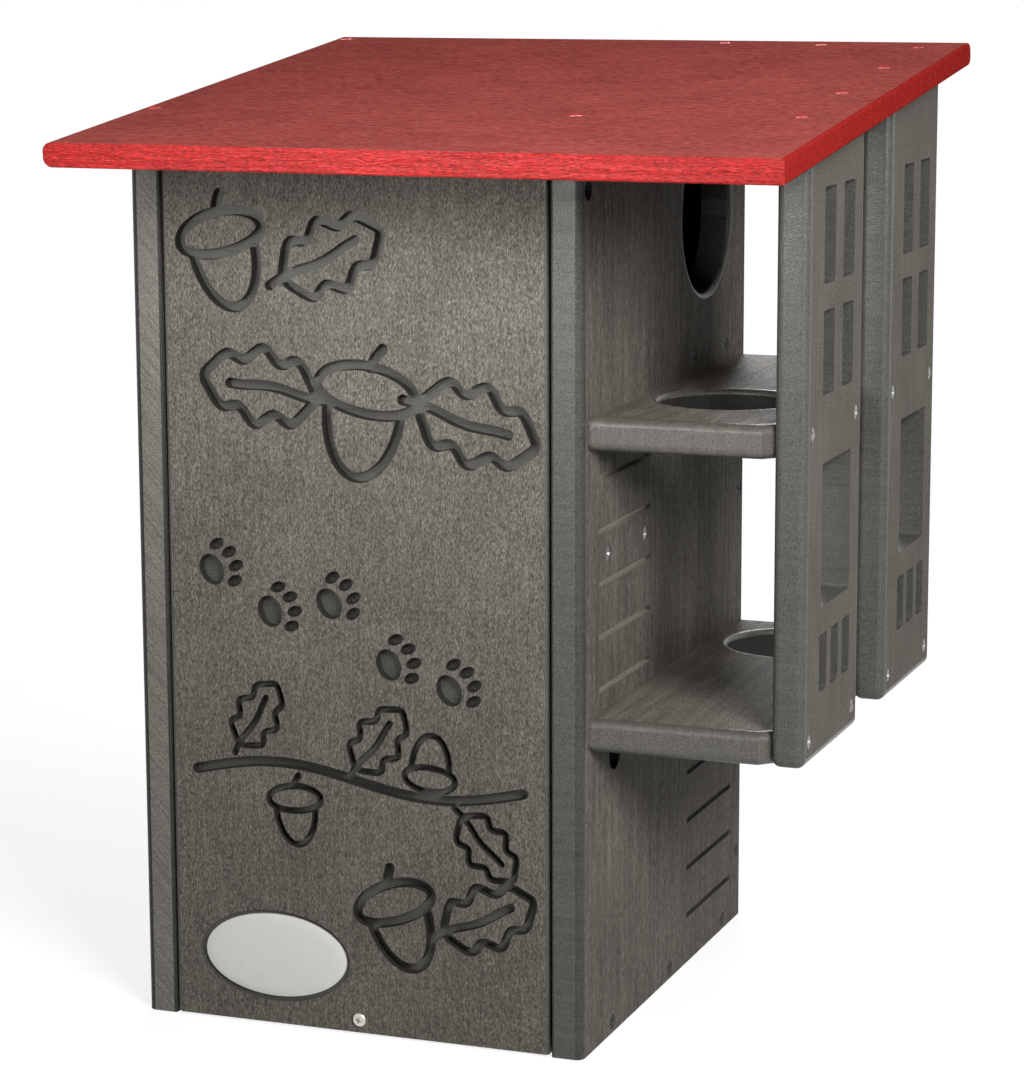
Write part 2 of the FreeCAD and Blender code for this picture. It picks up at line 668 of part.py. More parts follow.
def porch_fixings():
    """Screws from inside the wall into the porch, and through the slats into the shelves."""
    found = []
    slats = (("front_slat", SHELF_FRONT), ("rear_slat", REAR_SLAT_FRONT))
    beside_hole = f"{LOWER_HOLE_Y} - Sizes.porch_hole / 2 - Sizes.porch_screw_gap"
    shelves = (("upper_porch_shelf", UPPER_SHELF_BASE, f"{SHELF_REAR} - Sizes.porch_screw_inset"),
               ("lower_porch_shelf", LOWER_SHELF_BASE, beside_hole))
    for shelf, base, second in shelves:
        middle = f"{base} + Sizes.board / 2"
        for y in (f"{SHELF_FRONT} + Sizes.porch_screw_inset", second):
            found.append(Fixing("porch_screws", spot(INNER_RIGHT, y, middle), ALONG_X, ("right_wall", shelf)))
        for board, front in slats:
            for y in (f"{front} + Sizes.slat_screw_inset",
                      f"{front} + Sizes.slat_width - Sizes.slat_screw_inset"):
                z = f"{middle} + Sizes.slat_screw_rise"
                found.append(Fixing("slat_screws", spot(SLAT_OUTER, y, z), -ALONG_X, (board, shelf)))
    rail_y = f"{RAIL_FRONT} + Sizes.board / 2"
    rail_z = f"{under_roof(RAIL_FRONT)} - Sizes.rail_height / 2"
    found.append(Fixing("porch_screws", spot(INNER_RIGHT, rail_y, rail_z), ALONG_X,
                        ("right_wall", "porch_rear_rail")))
    return found


def roof_fixings():
    """Screws down through the roof into the walls, the slats and the rail."""
    found = []
    down = FreeCAD.Vector(0, at("sin(Sizes.roof_pitch)"), -at("cos(Sizes.roof_pitch)"))
    steep = "cos(Sizes.roof_pitch)"
    rear_row = f"{ROOF_REAR} - Sizes.roof_screw_rear"
    places = []
    for board, x in (("left_wall", f"{LEFT} + Sizes.board / 2"),
                     ("right_wall", f"{RIGHT} - Sizes.board / 2")):
        places.append((board, x, "Sizes.roof_screw_inset"))
        places.append((board, x, rear_row))
    for board, front in (("front_slat", SHELF_FRONT), ("rear_slat", REAR_SLAT_FRONT)):
        for y in (f"{front} + Sizes.roof_slat_inset", f"{front} + Sizes.slat_width - Sizes.roof_slat_inset"):
            places.append((board, f"{SLAT_INNER} + Sizes.board / 2", f"({y} - {FRONT}) / {steep}"))
    rail_y = f"({RAIL_FRONT} + Sizes.board / 2)"
    places.append(("porch_rear_rail", f"{RIGHT} + Sizes.porch_reach / 2", f"({rail_y} - {FRONT}) / {steep}"))
    for board, x, along in places:
        y, z = on_roof(along, "Sizes.panel")
        found.append(Fixing("roof_screws", spot(x, y, z), down, ("roof_panel", board)))
    return found


def set_in(shape, point, direction):
    """A copy of a turned shape with its head at point and its end along direction."""
    copy = shape.copy()
    copy.Placement = FreeCAD.Placement(point, FreeCAD.Rotation(-UP, direction))
    return copy


def gathered(label, shapes):
    """One object that holds several separate solids."""
    item = doc.addObject("Part::Feature", label)
    item.Label = label
    item.Shape = Part.makeCompound(shapes)
    return item


def drilled(label, blank, cutters):
    """A board with its bores cut."""
    tool = gathered(f"{label}_bores", cutters)
    cut = doc.addObject("Part::Cut", label)
    cut.Label = label
    cut.Base = blank
    cut.Tool = tool
    return cut


# Blanks of every board
blanks = {
    "left_wall": left_wall(),
    "right_wall": right_wall(),
    "floor_panel": floor_panel(),
    "back_panel": back_panel(),
    "upper_inner_shelf": inner_shelf("upper_inner_shelf_blank", LANDING_FRONT, LANDING_Z),
    "lower_inner_shelf": inner_shelf("lower_inner_shelf_blank", STEP_FRONT, STEP_Z),
    "front_door": front_door(),
    "roof_panel": roof_panel(),
    "upper_porch_shelf": porch_shelf("upper_porch_shelf_blank", UPPER_SHELF_TOP, UPPER_HOLE_Y),
    "lower_porch_shelf": porch_shelf("lower_porch_shelf_blank", LOWER_SHELF_TOP, LOWER_HOLE_Y),
    "front_slat": slat("front_slat_blank", SHELF_FRONT),
    "rear_slat": slat("rear_slat_blank", REAR_SLAT_FRONT),
    "porch_rear_rail": porch_rear_rail(),
}

# Countersunk screws and their bores
wall_stock = countersunk("wall_screw", "Sizes.screw_length")
porch_stock = countersunk("porch_screw", "Sizes.porch_screw_length")
roof_stock = countersunk("roof_screw", "Sizes.roof_screw_length")
doc.recompute()
groups = {}
bores = {name: [] for name in blanks}
for (screw, bore), fixings in (
    (wall_stock, wall_fixings()),
    (porch_stock, porch_fixings()),
    (roof_stock, roof_fixings()),
):
    for fixing in fixings:
        groups.setdefault(fixing.group, []).append(set_in(screw.Shape, fixing.point, fixing.direction))
        for name in fixing.boards:
            bores[name].append(set_in(bore.Shape, fixing.point, fixing.direction))

# Door pivots: heads in wells in the walls, ends held in the door
pivot_screw = pan_head("pivot_screw", "Sizes.pivot_head", "Sizes.pivot_head_height",
                       "Sizes.pivot_shank", "Sizes.pivot_length")
pivot_well = straight_bore("pivot_well", "Sizes.counterbore", "-Sizes.pivot_seat_gap",
                           f"Sizes.counterbore_depth + {PROUD}")
pivot_journal = straight_bore("pivot_journal", "Sizes.pivot_shank + 2 * Sizes.pivot_clearance",
                              "-Sizes.board", str(PROUD))
pivot_grip = straight_bore("pivot_grip", "Sizes.pivot_shank + 2 * Sizes.screw_clearance",
                           "-Sizes.pivot_length - Sizes.screw_clearance", str(PROUD))
doc.recompute()
pivot_seat = "Sizes.counterbore_depth - Sizes.pivot_seat_gap"
pivots = []
for wall, x, inwards in (("left_wall", f"{LEFT} + {pivot_seat}", ALONG_X),
                         ("right_wall", f"{RIGHT} - ({pivot_seat})", -ALONG_X)):
    seat = spot(x, PIVOT_Y, PIVOT_Z)
    pivots.append(set_in(pivot_screw.Shape, seat, inwards))
    bores[wall].append(set_in(pivot_well.Shape.fuse(pivot_journal.Shape), seat, inwards))
    bores["front_door"].append(set_in(pivot_grip.Shape, seat, inwards))

# Door lock: through the door, into a socket in the floor's front edge
lock_screw = pan_head("lock_screw", "Sizes.lock_head", "Sizes.lock_head_height",
                      "Sizes.lock_shank", "Sizes.lock_length")
lock_bore = straight_bore("lock_bore", "Sizes.lock_shank + 2 * Sizes.lock_clearance",
                          f"-Sizes.board - {PROUD}", str(PROUD))
lock_socket = straight_bore("lock_socket_bore", "Sizes.lock_socket", f"-Sizes.lock_length - {PROUD}", "0")
doc.recompute()
lock_seat = spot("0", FRONT, f"{FLOOR_MIDDLE} + Sizes.lock_rise")
bores["front_door"].append(set_in(lock_bore.Shape, lock_seat, ALONG_Y))
bores["floor_panel"].append(set_in(lock_socket.Shape, lock_seat, ALONG_Y))

# Every piece that is written
pieces = [drilled(name, blank, bores[name]) for name, blank in blanks.items()]
pieces.append(badge_plate())
pieces += [gathered(name, shapes) for name, shapes in groups.items()]
pieces.append(gathered("door_pivot_screws", pivots))
pieces.append(gathered("door_lock_screw", [set_in(lock_screw.Shape, lock_seat, ALONG_Y)]))
doc.recompute()

failed = [item.Name for item in doc.Objects if "Invalid" in item.State or "Error" in item.State]
if failed:
    raise RuntimeError(f"failed objects: {failed}")
for piece in pieces:
    if piece.Shape.isNull() or not piece.Shape.isValid() or not piece.Shape.Solids:
        raise RuntimeError(f"bad shape: {piece.Label}")
    if piece.Label in blanks and len(piece.Shape.Solids) != 1:
        raise RuntimeError(f"{piece.Label} fell apart")

os.makedirs("parts", exist_ok=True)
for piece in pieces:
    piece.Shape.exportStep(f"parts/{piece.Label}.step")
    print(f"{piece.Label}: {len(piece.Shape.Solids)} solids, {piece.Shape.Volume:.0f} mm3")
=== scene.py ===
import json
import logging
import math
from abc import ABC, abstractmethod
from dataclasses import dataclass, replace
from enum import Enum, IntEnum
from typing import Callable, Iterable, Sequence

import bmesh
import bpy
from bmesh.types import BMesh, BMFace, BMVert
from bpy.types import Material, MeshPolygon, Node, NodeTree, Object
from mathutils import Matrix, Vector, noise
from mathutils.bvhtree import BVHTree

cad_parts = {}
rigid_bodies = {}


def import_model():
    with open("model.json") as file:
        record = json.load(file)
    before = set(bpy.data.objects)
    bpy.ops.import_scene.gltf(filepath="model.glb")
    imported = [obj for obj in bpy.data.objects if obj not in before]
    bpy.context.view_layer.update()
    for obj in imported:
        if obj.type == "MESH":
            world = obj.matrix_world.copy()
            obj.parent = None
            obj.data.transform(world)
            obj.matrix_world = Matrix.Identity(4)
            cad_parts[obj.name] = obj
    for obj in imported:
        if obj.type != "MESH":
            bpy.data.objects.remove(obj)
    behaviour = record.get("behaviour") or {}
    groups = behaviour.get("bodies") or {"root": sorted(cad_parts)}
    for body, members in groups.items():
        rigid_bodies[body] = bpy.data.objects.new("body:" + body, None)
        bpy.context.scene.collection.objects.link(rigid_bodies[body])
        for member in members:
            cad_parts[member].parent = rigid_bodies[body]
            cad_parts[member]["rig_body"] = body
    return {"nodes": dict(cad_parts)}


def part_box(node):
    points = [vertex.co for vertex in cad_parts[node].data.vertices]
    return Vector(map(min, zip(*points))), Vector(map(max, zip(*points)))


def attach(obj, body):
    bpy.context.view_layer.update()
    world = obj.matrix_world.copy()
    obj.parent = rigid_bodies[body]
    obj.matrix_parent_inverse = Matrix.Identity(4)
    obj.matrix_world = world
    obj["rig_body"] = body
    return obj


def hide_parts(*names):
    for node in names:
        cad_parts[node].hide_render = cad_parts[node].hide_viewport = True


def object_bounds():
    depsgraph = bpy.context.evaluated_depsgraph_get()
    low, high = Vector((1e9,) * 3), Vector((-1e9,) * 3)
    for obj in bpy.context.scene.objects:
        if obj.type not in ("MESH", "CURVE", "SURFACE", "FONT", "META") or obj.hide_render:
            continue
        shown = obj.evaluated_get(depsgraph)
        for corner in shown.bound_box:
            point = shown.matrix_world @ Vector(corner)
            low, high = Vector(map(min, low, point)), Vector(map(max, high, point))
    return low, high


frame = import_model()
CAD_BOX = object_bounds()
MM = 0.001
WELD_GAP = 0.001 * MM
FLAT_ANGLE = math.radians(0.3)
SHARP_ANGLE = math.radians(40)
FRONT_ROUND = 1.6
ROOF_PITCH = math.radians(6.1)
X, Y, Z = Vector((1, 0, 0)), Vector((0, 1, 0)), Vector((0, 0, 1))
ROOF_NORMAL = Vector((0, -math.sin(ROOF_PITCH), math.cos(ROOF_PITCH)))
log = logging.getLogger("nest_box")

Colour = tuple[float, float, float]
Point2 = tuple[float, float]
Socket = bpy.types.NodeSocket
Sockets = dict[str, Socket]
Ring = list[BMVert]


class Grain(Enum):
    """Which way the brushed grain of a board runs."""

    ACROSS = (1, 0, 0)
    DEEP = (0, 1, 0)
    UPRIGHT = (0, 0, 1)

    def frequency(self, along: float, across: float) -> Vector:
        """Noise cycles per metre on each axis, from their lengths along the grain and across it."""
        return Vector(1 / ((along if part else across) * MM) for part in self.value)


class Surface(IntEnum):
    """Material slot of each kind of face on a board."""

    SKIN = 0
    ROUTED = 1
    ARRIS = 2
    # Hewn roof edge, and cut hollows painted dark as shade (door grooves, porch holes) and pale as light (the wall's
    # front grooves)
    ROUGH = 3
    SAWN = 4


class Drive(Enum):
    """Shape of a screw's head."""

    COUNTERSUNK = "countersunk"
    PAN = "pan"


class Graph:
    """A node tree that is being wired up."""

    def __init__(self, tree: NodeTree) -> None:
        """Take the tree that nodes are added to."""
        self.tree = tree

    def add(self, kind: str, inputs: dict | None = None, **settings: object) -> Node:
        """Add a node.

        Args:
            kind: The node's type name.
            inputs: Sockets to link, or values to set, by name or place.
            **settings: Properties of the node itself.

        Returns:
            The new node.
        """
        node = self.tree.nodes.new(kind)
        for key, value in settings.items():
            setattr(node, key, value)
        for key, value in (inputs or {}).items():
            if isinstance(value, Socket):
                self.tree.links.new(value, node.inputs[key])
            else:
                node.inputs[key].default_value = value
        return node

    def feed(self, source: Socket, node: Node, name: str) -> None:
        """Link a socket to one of a node's inputs."""
        self.tree.links.new(source, node.inputs[name])

    def math(self, operation: str, first: Socket | float, second: Socket | float) -> Socket:
        """One sum on two values."""
        return self.add("ShaderNodeMath", {0: first, 1: second}, operation=operation).outputs[0]

    def scaled(self, vector: Socket, factor: Socket | Sequence[float]) -> Socket:
        """A vector multiplied axis by axis."""
        return self.add("ShaderNodeVectorMath", {0: vector, 1: factor}, operation="MULTIPLY").outputs[0]

    def moved(self, vector: Socket, by: Sequence[float]) -> Socket:
        """A vector with an offset added."""
        return self.add("ShaderNodeVectorMath", {0: vector, 1: by}, operation="ADD").outputs[0]

    def ramp(self, value: Socket, low: float, high: float, start: float = 0.0, end: float = 1.0) -> Socket:
        """Spread the values from low to high over start to end, clamped.

        Args:
            value: The socket to spread.
            low: Value that becomes start.
            high: Value that becomes end.
            start: Result at low.
            end: Result at high.

        Returns:
            The spread value.
        """
        spans = {"From Min": low, "From Max": high, "To Min": start, "To Max": end}
        return self.add("ShaderNodeMapRange", {"Value": value, **spans}, clamp=True).outputs[0]

    def noise(self, vector: Socket, scale: float = 1.0, detail: float = 2.0, roughness: float = 0.5) -> Socket:
        """Noise of a given scale, as a value about one half."""
        values = {"Vector": vector, "Scale": scale, "Detail": detail, "Roughness": roughness}
        return self.add("ShaderNodeTexNoise", values, noise_dimensions="3D").outputs[0]

    def mix(self, factor: Socket | float, first: object, second: object, blend: str = "MIX") -> Socket:
        """Mix two colours.

        Args:
            factor: Share of the second colour.
            first: Colour or socket at zero.
            second: Colour or socket at one.
            blend: How the two are combined.

        Returns:
            The mixed colour.
        """
        sides = {6: first, 7: second}
        values = {key: side if isinstance(side, Socket) else (*side, 1.0) for key, side in sides.items()}
        node = self.add("ShaderNodeMix", {0: factor, **values}, data_type="RGBA", blend_type=blend)
        return node.outputs[2]

    def grey(self, value: Socket) -> Socket:
        """A value as a grey colour."""
        return self.add("ShaderNodeCombineColor", {0: value, 1: value, 2: value}).outputs[0]

    def blend(self, first: Socket, second: Socket, share: float) -> Socket:
        """Two values added, with the second one's share of the whole."""
        return self.math("ADD", self.math("MULTIPLY", first, 1 - share), self.math("MULTIPLY", second, share))


class Effects:
    """Shader effects that several finishes share, each built once as a node group."""

    @staticmethod
    def group(name: str, inputs: Iterable[str], outputs: Iterable[str],
              wire: Callable[[Graph, Sockets], Sockets]) -> NodeTree:
        """Build a group of named sockets, or find it if it is there already.

        Args:
            name: The group's name.
            inputs: Names of the vectors that it takes.
            outputs: Names of the values that it puts out.
            wire: Adds the nodes, from the input sockets to the output sockets.

        Returns:
            The node group.
        """
        found = bpy.data.node_groups.get(name)
        if found:
            return found
        tree = bpy.data.node_groups.new(name, "ShaderNodeTree")
        for label in inputs:
            tree.interface.new_socket(label, in_out="INPUT", socket_type="NodeSocketVector")
        for label in outputs:
            tree.interface.new_socket(label, in_out="OUTPUT", socket_type="NodeSocketFloat")
        graph = Graph(tree)
        start = graph.add("NodeGroupInput")
        ends = wire(graph, {label: start.outputs[label] for label in inputs})
        graph.add("NodeGroupOutput", dict(ends))
        return tree

    @classmethod
    def brushed(cls) -> NodeTree:
        """Brushed plastic grain: fine streaks, short light dashes that are the lumber's flecks and painted sparkle,
        long veins and slow clouds.
        """

        def wire(graph: Graph, ends: Sockets) -> Sockets:
            fine = graph.scaled(ends["Coordinate"], ends["Fine"])
            streak = graph.ramp(graph.noise(fine, 1.0, 1.0, 0.5), 0.3, 0.7)
            shifted = graph.moved(fine, (31.0, 17.0, 53.0))
            dash = graph.ramp(graph.noise(shifted, 1.0, 0.0), 0.6, 0.8)
            long = graph.scaled(ends["Coordinate"], ends["Long"])
            vein = graph.ramp(graph.noise(long, 1.0, 2.0, 0.55), 0.32, 0.68)
            cloud = graph.ramp(graph.noise(ends["Coordinate"], 24.0, 2.0, 0.5), 0.3, 0.7)
            height = graph.blend(streak, vein, 0.7)
            return {"Streak": streak, "Dash": dash, "Vein": vein, "Cloud": cloud, "Height": height}

        outputs = ("Streak", "Dash", "Vein", "Cloud", "Height")
        return cls.group("brushed_grain", ("Coordinate", "Fine", "Long"), outputs, wire)

    @classmethod
    def chatter(cls) -> NodeTree:
        """Marks of the cutter on a machined edge: bands across the feed, and fine fuzz."""

        def wire(graph: Graph, ends: Sockets) -> Sockets:
            along = graph.scaled(ends["Coordinate"], ends["Frequency"])
            band = graph.ramp(graph.noise(along, 1.0, 4.0, 0.7), 0.3, 0.7)
            fuzz = graph.ramp(graph.noise(ends["Coordinate"], 1500.0, 2.0, 0.7), 0.35, 0.65)
            return {"Band": band, "Fuzz": fuzz, "Height": graph.blend(band, fuzz, 0.7)}

        return cls.group("cutter_chatter", ("Coordinate", "Frequency"), ("Band", "Fuzz", "Height"), wire)

    @classmethod
    def handling(cls) -> NodeTree:
        """Faint smudges and pits on small smooth parts."""

        def wire(graph: Graph, ends: Sockets) -> Sockets:
            smudge = graph.ramp(graph.noise(ends["Coordinate"], 140.0, 3.0, 0.6), 0.35, 0.7)
            pit = graph.ramp(graph.noise(ends["Coordinate"], 2600.0, 1.0, 0.5), 0.3, 0.7)
            return {"Smudge": smudge, "Pit": pit}

        return cls.group("handling_marks", ("Coordinate",), ("Smudge", "Pit"), wire)


@dataclass(frozen=True)
class Finish(ABC):
    """A surface finish that becomes one material."""

    name: str
    base: Colour
    roughness: float
    gleam: float

    @abstractmethod
    def wire(self, graph: Graph, shader: Node, coordinate: Socket) -> None:
        """Feed the shader from the object's coordinates."""

    def material(self) -> Material:
        """The finish's material, made the first time that it is asked for."""
        found = bpy.data.materials.get(self.name)
        if found:
            return found
        material = bpy.data.materials.new(self.name)
        material.use_nodes = True
        graph = Graph(material.node_tree)
        shader = material.node_tree.nodes["Principled BSDF"]
        coordinate = graph.add("ShaderNodeTexCoord").outputs["Object"]
        shader.inputs["Roughness"].default_value = self.roughness
        shader.inputs["Specular IOR Level"].default_value = self.gleam
        self.wire(graph, shader, coordinate)
        return material

    def toned(self, factor: float) -> Colour:
        """The base colour made darker or lighter."""
        red, green, blue = self.base
        return red * factor, green * factor, blue * factor

    def varied(self, graph: Graph, factor: Socket, swing: float) -> Socket:
        """The base colour, darker where a value is zero and lighter where it is one."""
        return graph.mix(factor, self.toned(1 - swing), self.toned(1 + swing))

    def gloss(self, graph: Graph, shader: Node, factor: Socket, low: float, high: float) -> None:
        """Shift the roughness by low where a value is zero, and by high where it is one."""
        shifted = graph.ramp(factor, 0.0, 1.0, self.roughness + low, self.roughness + high)
        graph.feed(shifted, shader, "Roughness")

    @staticmethod
    def bump(graph: Graph, shader: Node, height: Socket, strength: float, depth: float) -> None:
        """Raise the surface by a height map, depth in millimetres."""
        values = {"Strength": strength, "Distance": depth * MM, "Height": height}
        graph.feed(graph.add("ShaderNodeBump", values).outputs[0], shader, "Normal")


@dataclass(frozen=True)
class SkinFinish(Finish):
    """Brushed face of a plastic board."""

    grain: Grain
    # Colour of the light dashes: the lumber's own flecks and painted sparkle
    pale: Colour
    streak: Point2 = (1.5, 0.6)
    vein: Point2 = (36.0, 2.5)
    vein_depth: float = 0.12
    contrast: float = 0.45
    dash: float = 0.5
    relief: float = 0.4

    def wire(self, graph: Graph, shader: Node, coordinate: Socket) -> None:
        """Streaks darken the base, dashes lighten it as flecks and painted sparkle, and veins and clouds shift it
        slowly.
        """
        marks = graph.add("ShaderNodeGroup", {
            "Coordinate": coordinate,
            "Fine": self.grain.frequency(*self.streak),
            "Long": self.grain.frequency(*self.vein),
        }, node_tree=Effects.brushed()).outputs
        body = self.varied(graph, marks["Streak"], self.contrast)
        flecked = graph.mix(graph.math("MULTIPLY", marks["Dash"], self.dash), body, self.pale)
        clouds = graph.ramp(marks["Cloud"], 0.0, 1.0, 0.9, 1.08)
        veins = graph.ramp(marks["Vein"], 0.0, 1.0, 1 - self.vein_depth, 1 + 0.7 * self.vein_depth)
        tint = graph.grey(graph.math("MULTIPLY", clouds, veins))
        graph.feed(graph.mix(1.0, flecked, tint, "MULTIPLY"), shader, "Base Color")
        self.gloss(graph, shader, marks["Streak"], 0.1, -0.06)
        self.bump(graph, shader, marks["Height"], 0.6, self.relief)


@dataclass(frozen=True)
class RoutedFinish(Finish):
    """Machined edge of a plastic board, smoother and bluer than its skin."""

    grain: Grain
    band: float = 2.2
    relief: float = 0.12
    contrast: float = 0.12
    lean: float = 0.0
    stroke: float = 60.0

    def wire(self, graph: Graph, shader: Node, coordinate: Socket) -> None:
        """Bands of cutter marks over a fine fuzz."""
        lean = {"Vector": coordinate, "Angle": math.radians(self.lean)}
        turned = graph.add("ShaderNodeVectorRotate", lean, rotation_type="Y_AXIS").outputs[0]
        marks = graph.add("ShaderNodeGroup", {
            "Coordinate": turned,
            "Frequency": self.grain.frequency(self.band, self.stroke),
        }, node_tree=Effects.chatter()).outputs
        banded = self.varied(graph, marks["Band"], self.contrast)
        tint = graph.grey(graph.ramp(marks["Fuzz"], 0.0, 1.0, 0.55, 1.45))
        graph.feed(graph.mix(1.0, banded, tint, "MULTIPLY"), shader, "Base Color")
        self.gloss(graph, shader, marks["Band"], 0.08, -0.06)
        self.bump(graph, shader, marks["Height"], 0.5, self.relief)


@dataclass(frozen=True)
class SmallFinish(Finish):
    """Metal, paint or enamel of a small part, with faint handling marks."""

    metallic: float = 0.0
    coat: float = 0.0
    variation: float = 0.12
    pit_depth: float = 0.04

    def wire(self, graph: Graph, shader: Node, coordinate: Socket) -> None:
        """Smudges shift colour and gloss, and pits break the reflection."""
        marks = graph.add("ShaderNodeGroup", {"Coordinate": coordinate}, node_tree=Effects.handling()).outputs
        shader.inputs["Metallic"].default_value = self.metallic
        shader.inputs["Coat Weight"].default_value = self.coat
        graph.feed(self.varied(graph, marks["Smudge"], self.variation), shader, "Base Color")
        self.gloss(graph, shader, marks["Smudge"], 0.0, self.variation)
        self.bump(graph, shader, marks["Pit"], 0.3, self.pit_depth)


GREY: Colour = (0.122, 0.112, 0.096)
# Light flecks of the grey lumber, partly painted sparkle
PALE_FLECK_AND_SPARKLE: Colour = (0.34, 0.31, 0.265)
BLUE_GREY: Colour = (0.070, 0.069, 0.061)
# Near-black grey painted on the walls' rounded edges as their shade
ROUND_PAINTED_SHADE: Colour = (0.036, 0.036, 0.034)
# Dark grey painted as shade on the right wall's edges and on the back panel's skin
EDGE_PAINTED_SHADE: Colour = (0.056, 0.055, 0.05)
STILE_GREY: Colour = (0.077, 0.076, 0.067)
# The left stile's own machined grey, painted lighter as lit
SAWN_GREY_PAINTED_LIGHT: Colour = (0.152, 0.144, 0.124)
# Pale grey painted on the wall's front grooves as the light on their faces
GROOVE_PAINTED_LIGHT: Colour = (0.27, 0.25, 0.215)
SHELF_GREY: Colour = (0.088, 0.083, 0.071)
# Shelf skin painted lighter as the light on the shelf tops
SHELF_SKIN_PAINTED_LIGHT: Colour = (0.162, 0.149, 0.127)
PALE_EDGE: Colour = (0.100, 0.098, 0.090)
# Near black painted on cut hollows as their shade: the door's groove walls and the porch holes
CUT_PAINTED_SHADE: Colour = (0.03, 0.028, 0.025)
RED: Colour = (0.35, 0.07, 0.06)
# Pale flecks of the red skin, partly painted highlights
RED_FLECK_AND_HIGHLIGHT: Colour = (0.52, 0.25, 0.22)
BRIGHT_RED: Colour = (0.31, 0.02, 0.017)
HEWN_RED: Colour = (0.29, 0.009, 0.008)
# Light chips on the hewn edge, partly painted glints
CHIP_AND_GLINT_RED: Colour = (0.54, 0.04, 0.033)
SCREW_RED: Colour = (0.42, 0.03, 0.026)
SCREW_BLACK: Colour = (0.014, 0.013, 0.013)
WORN_STEEL: Colour = (0.3, 0.29, 0.27)
BARE_STEEL: Colour = (0.6, 0.58, 0.54)
ENAMEL: Colour = (0.7, 0.685, 0.64)

# Specular levels
FAINT = 0.0
DULL = 0.015
SOFT = 0.12
SATIN = 0.25
GLOSSY = 0.3
SHELF_GLEAM = 0.4
SMOOTH = 0.5

# Roughness
MATT = 0.52
MILLED = 0.3


@dataclass(frozen=True)
class BoardFinish:
    """The finishes of one board: skin, machined edges, worn arrises, the hewn roof edge together with cut hollows
    painted dark as shade and pale as light, and sawn front.
    """

    skin: Finish
    routed: Finish
    arris: Finish
    # Hewn roof edge, and cut hollows painted dark as shade and pale as light
    rough: Finish
    sawn: Finish

    @classmethod
    def grey(cls, name: str, grain: Grain, feed: Grain, edge: Colour = BLUE_GREY,
             gleam: float = GLOSSY) -> "BoardFinish":
        """Charcoal plastic lumber with long veins.

        Args:
            name: Start of the materials' names.
            grain: Which way the skin's streaks run.
            feed: Which way the cutter went along the visible edges.
            edge: Colour of the machined edges.
            gleam: Shine of the machined edges.

        Returns:
            The board's finishes.
        """
        routed = RoutedFinish(f"{name}_routed", edge, MILLED, gleam, feed, band=3.0, contrast=0.16)
        return cls(
            SkinFinish(f"{name}_skin", GREY, MATT, DULL, grain, PALE_FLECK_AND_SPARKLE, streak=(3.6, 0.75), vein=(70.0, 4.5),
                       vein_depth=0.22, contrast=0.3, dash=0.35, relief=0.6),
            routed,
            RoutedFinish(f"{name}_arris", PALE_EDGE, 0.45, SOFT, feed, band=1.1, relief=0.1, contrast=0.3),
            # Cut hollows take this near-black colour as painted shade
            RoutedFinish(f"{name}_cut", CUT_PAINTED_SHADE, 0.5, SOFT, feed, band=1.6),
            routed,
        )

    @classmethod
    def brushed(cls, name: str, contrast: float) -> "BoardFinish":
        """Charcoal plastic lumber whose skin is brushed short and fine."""
        skin = SkinFinish(f"{name}_skin", GREY, MATT, DULL, Grain.UPRIGHT, PALE_FLECK_AND_SPARKLE,
                          contrast=contrast, dash=contrast)
        return replace(cls.grey(name, Grain.UPRIGHT, Grain.UPRIGHT), skin=skin)

    @classmethod
    def red(cls) -> "BoardFinish":
        """Red plastic lumber of the roof."""
        routed = RoutedFinish("red_routed", BRIGHT_RED, 0.45, FAINT, Grain.DEEP, band=2.0)
        return cls(
            SkinFinish("red_skin", RED, 0.5, FAINT, Grain.ACROSS, RED_FLECK_AND_HIGHLIGHT, streak=(4.5, 0.6), vein=(36.0, 2.0),
                       vein_depth=0.14, dash=0.45),
            routed,
            replace(routed, name="red_arris", band=1.2, relief=0.2, contrast=0.3),
            SkinFinish("red_hewn", HEWN_RED, 0.42, SATIN, Grain.ACROSS, CHIP_AND_GLINT_RED, streak=(2.6, 0.6),
                       contrast=0.5, dash=0.55, relief=1.2),
            routed,
        )


